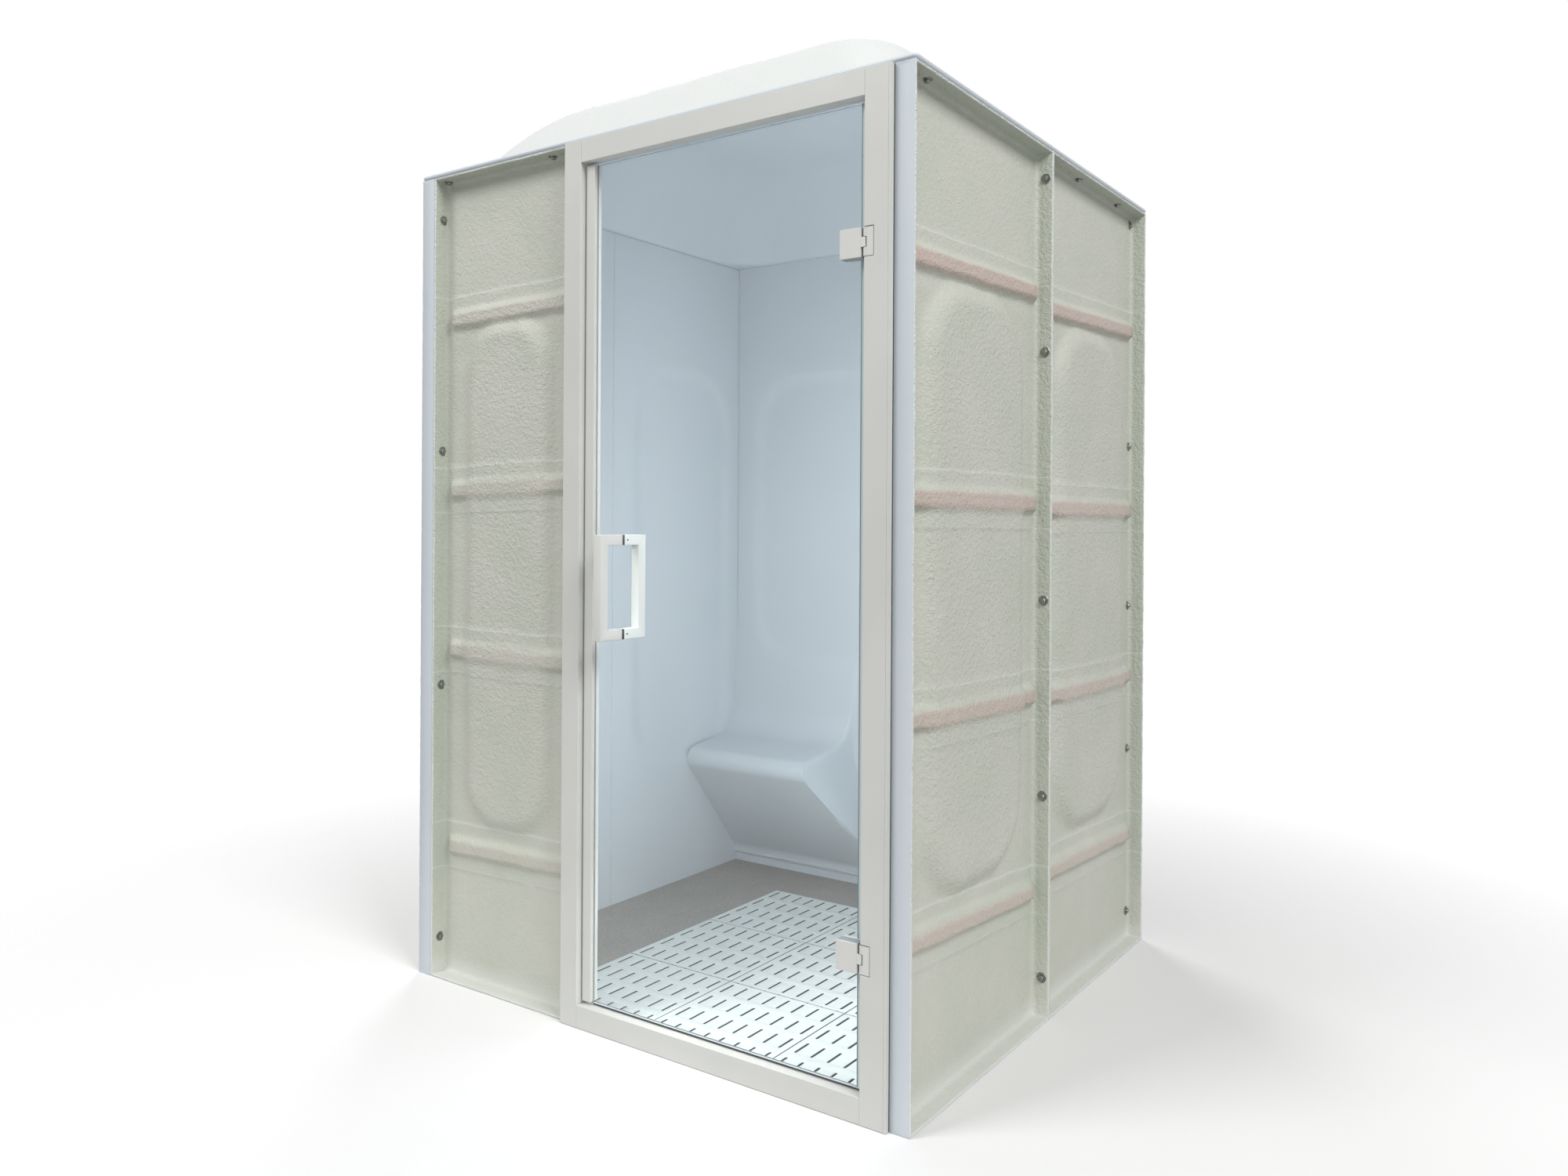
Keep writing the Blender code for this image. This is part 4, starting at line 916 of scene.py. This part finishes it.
# %% [markdown]
# ## Glass
# Toughened glass is clear through its face and green through its edge, because there the light has come a
# long way through iron-bearing glass. The shader's colour therefore turns green where the surface faces
# sideways. The pane casts no shadow: a renderer would otherwise keep the lamps out of the cabin.

# %% Glass
GLASS_LOW, GLASS_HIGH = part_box("door_glass")


def clear_glass(name, face, edge):
    """Glass with green edges."""
    material, tree, shader = start_finish(name, face, 0.0)
    shader.inputs["Transmission Weight"].default_value = 1.0
    shader.inputs["IOR"].default_value = 1.45
    normal = add_node(tree, "ShaderNodeTexCoord").outputs["Normal"]
    facing = add_node(tree, "ShaderNodeSeparateXYZ", {0: normal}).outputs[1]
    sideways = spread(tree, maths(tree, "ABSOLUTE", facing), 0.3, 0.8, 1.0, 0.0)
    tree.links.new(blend_colour(tree, sideways, face, edge), shader.inputs["Base Color"])
    return material


GLASS = clear_glass("door_glass", on_screen(249, 252, 252), on_screen(150, 196, 186))
pane = soften("door_glass", 0.0006, GLASS, 1)
pane.visible_shadow = False
print("glass from", [round(value, 3) for value in GLASS_LOW])

# %% [markdown]
# A milky clear channel is pushed over the hinge edge of the glass. It is a profile like the trim, pulled up
# in three lengths that stop short of the hinges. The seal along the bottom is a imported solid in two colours,
# a pale carrier with a dark wiper lip, so its finish changes colour at the height of the lip.

# %% Seals
CHANNEL_COVER, CHANNEL_WALL, CHANNEL_FIT, CHANNEL_LIP = 0.0150, 0.0012, 0.0003, 0.0030
HINGE_CUT = 0.002
WIPER_LIP = 0.0026


def edge_channel():
    """Clear channels pushed over the hinge edge of the glass, cut away at the hinges."""
    low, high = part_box("door_hinge_seal")
    front, back = GLASS_LOW[1] - CHANNEL_FIT, GLASS_HIGH[1] + CHANNEL_FIT
    inner, stop = GLASS_HIGH[0] - CHANNEL_COVER, GLASS_HIGH[0] + CHANNEL_FIT
    outline = [(inner, front - CHANNEL_WALL), (high[0], front - CHANNEL_WALL), (high[0], back + CHANNEL_WALL),
               (inner, back + CHANNEL_WALL), (inner, back), (stop, back), (stop, front), (inner, front)]
    stops = [low[2]]
    for side in ("lower", "upper"):
        leaf_low, leaf_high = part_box(side + "_hinge_glass_leaf")
        stops += [leaf_low[2] - HINGE_CUT, leaf_high[2] + HINGE_CUT]
    stops.append(high[2])
    mesh = pulled_profile("glass_edge_channel", outline, zip(stops[::2], stops[1::2]))
    return place_piece("glass_edge_channel", mesh, (CHANNEL,), "door", ["door_hinge_seal"])


CHANNEL = moulded("clear_channel", on_screen(128, 146, 152), on_screen(120, 138, 146), 0.35, 60.0, 0.0001)
split_tone(CHANNEL, "X", GLASS_HIGH[0] - CHANNEL_COVER + CHANNEL_LIP, on_screen(198, 214, 212))
channel = edge_channel()
WIPER = moulded("wiper_seal", on_screen(46, 50, 56), on_screen(38, 42, 48), 0.55, 300.0, 0.0001)
split_tone(WIPER, "Z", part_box("door_bottom_seal")[0][2] + WIPER_LIP, on_screen(206, 212, 216))
soften("door_bottom_seal", 0.0008, WIPER, 2)
print("channel", len(channel.data.polygons), "faces")

# %% [markdown]
# ## Handles
# The pull is a pair of square D handles, back to back through the glass. Each is one bar bent round with
# crisp outer corners, so its outline is drawn once, pulled out to the bar's width and bevelled. A thin grey
# washer sits between each post and the glass, and a grub screw in the side of each inner post locks it to
# its stud.

# %% Handles
HANDLE_BAR = 0.025
HANDLE_EDGE = 0.0022
WASHER_THICK = 0.0012


def finish_mesh(name, work, angle=40):
    """A shaded mesh from a bmesh."""
    mesh = bpy.data.meshes.new(name)
    bmesh.ops.recalc_face_normals(work, faces=work.faces)
    work.to_mesh(mesh)
    work.free()
    mesh.shade_smooth()
    mesh.set_sharp_from_angle(angle=math.radians(angle))
    return mesh


def place_work(name, work, finish, body, nodes=()):
    """A piece with one finish, from a bmesh."""
    return place_piece(name, finish_mesh(name, work), (finish,), body, nodes)


def d_handle(node, glass_face, direction):
    """A D handle that stands off the glass along a direction, -1 outside and 1 inside."""
    (left, near, bottom), (right, far, top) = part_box(node)
    bar = HANDLE_BAR
    seat = glass_face + direction * WASHER_THICK
    tip = near if direction < 0 else far
    inside = tip - direction * bar
    outline = [(seat, bottom), (tip, bottom), (tip, top), (seat, top), (seat, top - bar), (inside, top - bar),
               (inside, bottom + bar), (seat, bottom + bar)]
    work = bmesh.new()
    pull_outline(work, [(left, y, z) for y, z in outline], (right - left, 0, 0))
    bmesh.ops.recalc_face_normals(work, faces=work.faces)
    bmesh.ops.bevel(work, geom=work.edges[:], offset=HANDLE_EDGE, segments=3, profile=0.5, affect="EDGES")
    place_work(node + "_bar", work, FITTING_ENAMEL, "door", [node])


d_handle("outer_handle", GLASS_LOW[1], -1)
d_handle("inner_handle", GLASS_HIGH[1], 1)

# %% Handle washers and grub screws
HANDLE_LOW, HANDLE_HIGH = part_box("inner_handle")
HANDLE_X = (HANDLE_LOW[0] + HANDLE_HIGH[0]) / 2
POSTS = (HANDLE_LOW[2] + HANDLE_BAR / 2, HANDLE_HIGH[2] - HANDLE_BAR / 2)
WASHER_SHORT, WASHER_FIT, WASHER_EDGE = 0.0004, 0.0001, 0.0003
GRUB_RADIUS, GRUB_FROM_GLASS = 0.0022, 0.011
GRUB_STEPS = ((0.0006, GRUB_RADIUS, 16), (0.0010, GRUB_RADIUS * 0.55, 6))
WASHER_GREY = moulded("washer_grey", on_screen(92, 96, 100), on_screen(84, 88, 92), 0.6, 300.0, 0.0001)


def block_between(work, low, high):
    """A box between two corners."""
    low, high = Vector(low), Vector(high)
    place = Matrix.Translation((low + high) / 2) @ Matrix.Diagonal((*(high - low), 1.0))
    bmesh.ops.create_cube(work, size=1.0, matrix=place)


def handle_washers():
    """Grey square washers between the posts and the glass."""
    work = bmesh.new()
    half = HANDLE_BAR / 2 - WASHER_SHORT
    for level in POSTS:
        for face, direction in ((GLASS_LOW[1], -1), (GLASS_HIGH[1], 1)):
            near, far = sorted(face + direction * step for step in (WASHER_FIT, WASHER_THICK - WASHER_FIT))
            block_between(work, (HANDLE_X - half, near, level - half), (HANDLE_X + half, far, level + half))
    bmesh.ops.bevel(work, geom=work.edges[:], offset=WASHER_EDGE, segments=1, affect="EDGES")
    place_work("handle_washers", work, WASHER_GREY, "door")


def grub_screws():
    """Socket screws in the near side of each inner post."""
    work = bmesh.new()
    turn = Matrix.Rotation(math.pi / 2, 4, "Y")
    for level in POSTS:
        for depth, radius, sides in GRUB_STEPS:
            place = Matrix.Translation((HANDLE_HIGH[0] + depth / 2, GLASS_HIGH[1] + GRUB_FROM_GLASS, level))
            bmesh.ops.create_cone(work, cap_ends=True, segments=sides, radius1=radius, radius2=radius * 0.9,
                                  depth=depth, matrix=place @ turn)
    place_work("handle_grub_screws", work, RUBBER, "door")


handle_washers()
grub_screws()
print("posts at", [round(level, 3) for level in POSTS])

# %% [markdown]
# ## Bolts
# Plain hexagon bolts with broad washers hold the flanges together. One bolt is modelled properly, with the
# chamfer that a lathe leaves on the head, and then shared: every bolt is an object of its own with the same
# mesh, turned and moved to its place. The far side and the back are built like the near side, so their seams
# and the far rear corner get bolts at the same heights.

# %% One bolt
HEX_RADIUS, HEAD, NUT, SHANK_RADIUS = 0.0070, 0.0055, 0.0085, 0.004
WASHER_RADIUS, WASHER, WASHER_ROUND = 0.0125, 0.0018, 0.0004
CHAMFER, HEAD_CHAMFER, NUT_CHAMFER = 0.86, 0.0012, (0.0005, 0.0018)
CROWN_FACE = 0.5
WALL_GRIP, ROOF_GRIP = 0.0129, 0.0189


def turned_rings(work, rings, sides):
    """A closed turned shape from radius and height pairs along Z."""
    angles = [2 * math.pi * step / sides for step in range(sides)]
    loops = []
    for radius, level in rings:
        loops.append([work.verts.new((radius * math.cos(a), radius * math.sin(a), level)) for a in angles])
    for lower, upper in zip(loops, loops[1:]):
        for step in range(sides):
            after = (step + 1) % sides
            work.faces.new((lower[step], lower[after], upper[after], upper[step]))
    work.faces.new(loops[0][::-1])
    work.faces.new(loops[-1])


def bolt_mesh(name, grip):
    """Head, washer, shank and nut. The head is at +Z, and the washer sits on z = 0."""
    work = bmesh.new()
    rim, top, end = WASHER_RADIUS - WASHER_ROUND, WASHER + HEAD, -grip - NUT
    turned_rings(work, [(rim, 0.0), (WASHER_RADIUS, WASHER_ROUND), (WASHER_RADIUS, WASHER - WASHER_ROUND),
                        (rim, WASHER)], 32)
    turned_rings(work, [(HEX_RADIUS, WASHER), (HEX_RADIUS, top - HEAD_CHAMFER), (HEX_RADIUS * CHAMFER, top),
                        (HEX_RADIUS * CROWN_FACE, top)], 6)
    turned_rings(work, [(SHANK_RADIUS, end), (SHANK_RADIUS, 0.0)], 12)
    turned_rings(work, [(HEX_RADIUS * CHAMFER, end + NUT_CHAMFER[0]), (HEX_RADIUS, end + NUT_CHAMFER[1]),
                        (HEX_RADIUS, -grip)], 6)
    return finish_mesh(name, work, 30)


def put_bolt(name, mesh, seat, direction, nodes=()):
    """A bolt with its washer at a seat."""
    place = Matrix.Translation(seat) @ Vector(direction).to_track_quat("Z", "Y").to_matrix().to_4x4()
    place_piece(name, mesh, (ZINC,), "cabin", nodes, place)


WALL_BOLT, ROOF_BOLT = bolt_mesh("wall_bolt", WALL_GRIP), bolt_mesh("roof_bolt", ROOF_GRIP)
print("bolt head", round(2 * HEX_RADIUS * 1000), "mm across")

# %% Bolts in their places
HEAD_ROOM = WASHER + HEAD
BACK_SEAM = (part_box("back_left_seat_panel")[1][0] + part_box("back_right_seat_panel")[0][0]) / 2
BOLT_FROM_WALL = 0.030
BACK_SEAT = (BACK_SEAM - WALL_GRIP / 2, SEAT_WALL + BOLT_FROM_WALL)
bolt_count = 0
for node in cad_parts:
    low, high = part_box(node)
    x, y, z = (Vector(low) + Vector(high)) / 2
    if "right_seam_bolt" in node:
        put_bolt(node + "_steel", WALL_BOLT, (x, low[1] + HEAD_ROOM, z), (0, -1, 0), [node])
        put_bolt(node + "_mirrored", WALL_BOLT, (-x, low[1] + HEAD_ROOM, z), (0, -1, 0))
        put_bolt(node + "_behind", WALL_BOLT, (*BACK_SEAT, z), (-1, 0, 0))
    elif "corner_bolt" in node:
        put_bolt(node + "_steel", WALL_BOLT, (high[0] - HEAD_ROOM, y, z), (1, 0, 0), [node])
        if x > 0:
            put_bolt(node + "_mirrored", WALL_BOLT, (HEAD_ROOM - high[0], y, z), (-1, 0, 0))
    elif "roof_bolt" in node:
        put_bolt(node + "_steel", ROOF_BOLT, (x, y, low[2] + HEAD_ROOM), (0, 0, -1), [node])
    else:
        continue
    bolt_count += 1
print(bolt_count, "bolts replaced")

# %% [markdown]
# ## Floor mats
# The mats are square tiles with four rows of drain slots, clipped edge to edge. A flat outline with holes is
# what Blender's 2D curves are for: the border and every slot are closed splines of one curve, the curve fills
# between them, and its extrude and bevel give the tile its thickness and softened edges.

# %% Mat outline
SLOTS_ACROSS, SLOTS_ALONG = 8, 4
SLOT_WIDTH, SLOT_LENGTH, SLOT_END_STEPS = 0.0065, 0.058, 3
MAT_EDGE = 0.0007
TILE_GAP = 0.0030
NOTCH_RADIUS, NOTCH_STEPS = 0.0024, 4


def closed_spline(curve, points):
    """A closed straight-sided spline."""
    spline = curve.splines.new("POLY")
    spline.points.add(len(points) - 1)
    for point, (x, y) in zip(spline.points, points):
        point.co = (x, y, 0, 1)
    spline.use_cyclic_u = True


def notched_outline(half):
    """A square outline with small half-round notches along its front and back edges, where tiles clip."""
    points = []
    pitch = 2 * half / SLOTS_ACROSS
    for sign in (-1, 1):
        points.append((sign * half, sign * half))
        for step in range(SLOTS_ACROSS):
            middle = sign * (half - pitch * (step + 0.5))
            for turn in range(NOTCH_STEPS + 1):
                angle = math.pi * turn / NOTCH_STEPS
                points.append((middle + sign * NOTCH_RADIUS * math.cos(angle),
                               sign * (half - NOTCH_RADIUS * math.sin(angle))))
        points.append((-sign * half, sign * half))
    return points


def mat_mesh(size, thickness):
    """One slotted tile, on z = 0."""
    curve = bpy.data.curves.new("mat_outline", "CURVE")
    curve.dimensions = "2D"
    curve.fill_mode = "BOTH"
    curve.extrude = thickness / 2 - MAT_EDGE
    curve.bevel_depth = MAT_EDGE
    curve.bevel_resolution = 1
    closed_spline(curve, notched_outline(size / 2 - MAT_EDGE - TILE_GAP / 2))
    slot = np.concatenate(corner_arcs(SLOT_WIDTH / 2 + MAT_EDGE, SLOT_LENGTH / 2 + MAT_EDGE, SLOT_WIDTH / 2,
                                      SLOT_END_STEPS))[::-1]
    pitch_x, pitch_y = size / SLOTS_ACROSS, size / SLOTS_ALONG
    for column in range(SLOTS_ACROSS):
        for row in range(SLOTS_ALONG):
            middle = (pitch_x * (column + 0.5) - size / 2, pitch_y * (row + 0.5) - size / 2)
            closed_spline(curve, slot + middle)
    holder = bpy.data.objects.new("mat_outline", curve)
    scene.collection.objects.link(holder)
    mesh = bpy.data.meshes.new_from_object(holder.evaluated_get(bpy.context.evaluated_depsgraph_get()))
    bpy.data.objects.remove(holder)
    work = bmesh.new()
    work.from_mesh(mesh)
    bpy.data.meshes.remove(mesh)
    bmesh.ops.remove_doubles(work, verts=work.verts, dist=NODE_WELD)
    bmesh.ops.translate(work, verts=work.verts, vec=(0, 0, thickness / 2))
    return finish_mesh("floor_mat_tile", work, 35)


low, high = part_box("floor_mat_1")
MAT_TILE = mat_mesh(high[0] - low[0], high[2] - low[2])
print("mat tile has", len(MAT_TILE.polygons), "faces")

# %% [markdown]
# The walls of the slots lie in shade, so they get a dark finish as painted shade, and the outer sides get a
# grey one as painted shade too. The nine mats share one mesh. Dark strips lie in the gaps between them as
# painted shade, with a stud in every notch.

# %% Mats in their places
STEEP, EDGE_BAND = 0.3, 0.004
# Painted shade: dark for the slot walls and the gap strips, grey for the outer sides of the tiles.
MAT_SLOT_SHADE = moulded("mat_slot_painted_shade", on_screen(84, 88, 88), on_screen(70, 74, 74), 0.6, 180.0, 0.0002)
MAT_SIDE_SHADE = moulded("mat_edge_painted_shade", on_screen(146, 150, 149), on_screen(134, 138, 137), 0.5, 180.0, 0.0002)
for finish in (MAT_WHITE, MAT_SLOT_SHADE, MAT_SIDE_SHADE):
    MAT_TILE.materials.append(finish)
reach = (high[0] - low[0]) / 2 - EDGE_BAND
for face in MAT_TILE.polygons:
    within = abs(face.center.x) < reach and abs(face.center.y) < reach
    if abs(face.normal.z) < STEEP:
        face.material_index = 1 if within else 2
MATS = [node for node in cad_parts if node.startswith("floor_mat_")]
for node in MATS:
    low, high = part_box(node)
    place = Matrix.Translation(((low[0] + high[0]) / 2, (low[1] + high[1]) / 2, low[2]))
    place_piece(node + "_tile", MAT_TILE, (), "cabin", [node], place)
print(len(MATS), "mats laid")

# %% Dark strips of painted shade between the mats
CLIP_DEPTH, CLIP_FIT, CLIP_SHORT = 0.0022, 0.0002, 0.01
STUD_RADIUS, STUD_RISE, STUD_SIDES = 0.0018, 0.0012, 10
TIP_RADIUS, TIP_RISE = 0.0012, 0.0016


def gap_shade_strips():
    """Dark strips in the gaps between tiles, with a stud at every notch, as painted shade in the gaps."""
    boxes = np.round([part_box(node) for node in MATS], 5)
    lows, highs = boxes[:, 0], boxes[:, 1]
    low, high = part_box(MATS[0])
    floor, top = low[2], high[2] - CLIP_DEPTH
    half = TILE_GAP / 2 - CLIP_FIT
    pitch = (high[0] - low[0]) / SLOTS_ACROSS
    rings = [(STUD_RADIUS, floor), (STUD_RADIUS, top + STUD_RISE), (TIP_RADIUS, top + TIP_RISE)]
    work = bmesh.new()
    for axis in (0, 1):
        ends, starts = np.unique(highs[:, axis])[:-1], np.unique(lows[:, axis])[1:]
        reach = (lows[:, 1 - axis].min() + CLIP_SHORT, highs[:, 1 - axis].max() - CLIP_SHORT)
        for joint in (ends + starts) / 2:
            near, far = [joint - half, reach[0]], [joint + half, reach[1]]
            if axis:
                near, far = near[::-1], far[::-1]
                for stud in np.arange(lows[:, 0].min() + pitch / 2, highs[:, 0].max(), pitch):
                    fresh = len(work.verts)
                    turned_rings(work, rings, STUD_SIDES)
                    work.verts.ensure_lookup_table()
                    bmesh.ops.translate(work, verts=work.verts[fresh:], vec=(stud, joint, 0))
            block_between(work, (*near, floor), (*far, top))
    # The strips take the dark finish, so the gaps between the tiles show painted shade.
    return place_work("floor_mat_gap_shade", work, MAT_SLOT_SHADE, "cabin")


gap_shade = gap_shade_strips()
print("clips have", len(gap_shade.data.polygons), "faces")

# %% [markdown]
# ## Floor
# Between the mats and the walls a grey stone-like floor shows. It is a thin tray with a matt, mineral look:
# two sizes of speckle over a slow drift, and a slight tooth to the surface.

# %% Floor finish, drain and nozzle
def mineral(name, base, pale, dark):
    """A speckled matt floor."""
    material, tree, shader = start_finish(name, base, 0.6)
    place = metres(tree)
    drift = grain(tree, place, 7.0, 5.0, 0.65)
    fleck = grain(tree, place, 190.0, 4.0, 0.7)
    drifted = blend_colour(tree, spread(tree, drift, 0.35, 0.65), base, pale)
    two_tones(tree, shader, fleck, 0.5, 0.72, drifted, dark)
    gloss(tree, shader, drift, 0.45, 0.7)
    raise_surface(tree, shader, fleck, 0.0006)
    return material


FLOOR_STONE = mineral("floor_stone", on_screen(146, 143, 136), on_screen(162, 158, 150),
                      on_screen(104, 101, 95))
soften("floor_tray", 0.0008, FLOOR_STONE, 1)
soften("floor_drain", 0.0006, ZINC, 2)
soften("steam_nozzle", 0.0006, ZINC, 2)
soften("steam_nozzle_nut", 0.0008, ZINC, 2)

# %% [markdown]
# ## Studio
# A pale floor catches a soft shadow and fades into a white surround. The camera, mirrors and glass see the
# floor and the surround as white, while both throw less light than they show, so that the foot of the cabin
# isn't washed out.

# %% Studio floor and world
FLOOR_RADIUS, FLOOR_FADE, FLOOR_DROP = 3.2, (1.2, 2.6), 0.001
FLOOR_SHOWN, FLOOR_THROWN = on_screen(244, 244, 244), on_screen(224, 224, 224)
WHITE = (1, 1, 1, 1)
SURROUND = 0.26


def seen_rays(tree):
    """1 for the rays that show a surface: straight on, mirrored or through glass."""
    ray = add_node(tree, "ShaderNodeLightPath").outputs
    indirect = maths(tree, "MAXIMUM", ray["Is Glossy Ray"], ray["Is Transmission Ray"])
    return maths(tree, "MAXIMUM", ray["Is Camera Ray"], indirect)


def mix_surface(tree, output, share, first, second):
    """Sends a mix of two shaders to an output node."""
    mixed = add_node(tree, "ShaderNodeMixShader", {0: share, 1: first.outputs[0], 2: second.outputs[0]})
    tree.links.new(mixed.outputs[0], tree.nodes[output].inputs["Surface"])


work = bmesh.new()
bmesh.ops.create_circle(work, cap_ends=True, segments=96, radius=FLOOR_RADIUS)
floor_mesh = bpy.data.meshes.new("studio_floor")
work.to_mesh(floor_mesh)
work.free()
studio_floor = bpy.data.objects.new("studio_floor", floor_mesh)
studio_floor.location = (0, 0, -FLOOR_DROP)
scene.collection.objects.link(studio_floor)
pale, tree, shader = start_finish("studio_pale", FLOOR_SHOWN, 0.8)
shown = blend_colour(tree, seen_rays(tree), FLOOR_THROWN, FLOOR_SHOWN)
tree.links.new(shown, shader.inputs["Base Color"])
distance = add_node(tree, "ShaderNodeVectorMath", {0: metres(tree)}, operation="LENGTH").outputs["Value"]
clear = add_node(tree, "ShaderNodeBsdfTransparent")
mix_surface(tree, "Material Output", spread(tree, distance, *FLOOR_FADE), shader, clear)
floor_mesh.materials.append(pale)

scene.world = bpy.data.worlds.new("studio_world")
scene.world.use_nodes = True
tree = scene.world.node_tree
lighting = tree.nodes["Background"]
lighting.inputs["Color"].default_value = WHITE
lighting.inputs["Strength"].default_value = SURROUND
backdrop = add_node(tree, "ShaderNodeBackground", {"Color": WHITE, "Strength": 1.0})
mix_surface(tree, "World Output", seen_rays(tree), lighting, backdrop)
print("surround at", SURROUND)

# %% [markdown]
# Two large soft lamps stand in front, one to each side, and high up, so that ribs and arches catch light from
# above as they do under a skylight. A third one serves the back, and a weak one fills from low down. Two soft
# lamps light the inside, because the thin walls of the real cabin let daylight through. These two and the low
# one can't be seen themselves, and the glass doesn't mirror them.

# %% Lamps
CABIN_MIDDLE = (0, 0, 1.1)


def hang_lamp(name, kind, place, power):
    """A lamp of a kind at a place."""
    lamp = bpy.data.objects.new(name, bpy.data.lights.new(name, kind))
    lamp.data.energy = power
    lamp.location = place
    scene.collection.objects.link(lamp)
    return lamp


def soft_lamp(name, place, aim, size, power, height=None):
    """A large soft lamp that points at a place."""
    lamp = hang_lamp(name, "AREA", place, power)
    lamp.data.shape = "RECTANGLE"
    lamp.data.size = size
    lamp.data.size_y = height or size
    lamp.rotation_euler = (Vector(aim) - Vector(place)).to_track_quat("-Z", "Y").to_euler()
    return lamp


def glowing_ball(name, place, radius, power):
    """A soft round lamp that shines every way."""
    lamp = hang_lamp(name, "POINT", place, power)
    lamp.data.shadow_soft_size = radius
    return lamp


soft_lamp("left_softbox", (-3.0, -5.9, 7.2), CABIN_MIDDLE, 3.5, 370)
soft_lamp("right_softbox", (6.1, -2.5, 6.3), CABIN_MIDDLE, 3.4, 395)
soft_lamp("rear_softbox", (-3.2, 3.6, 3.8), CABIN_MIDDLE, 2.2, 110)
for glow in (soft_lamp("low_fill", (3.4, -4.4, 1.0), (0.2, 0, 0.8), 2.5, 28),
             glowing_ball("through_the_walls", (0.14, -0.06, 1.50), 0.3, 6.6),
             soft_lamp("through_the_door", (0.28, -0.56, 0.75), (0.18, 0.6, 0.42), 0.52, 6.3, 1.2)):
    glow.visible_camera = False
    glow.visible_glossy = False
    glow.visible_transmission = False
scene.view_settings.view_transform = "Standard"
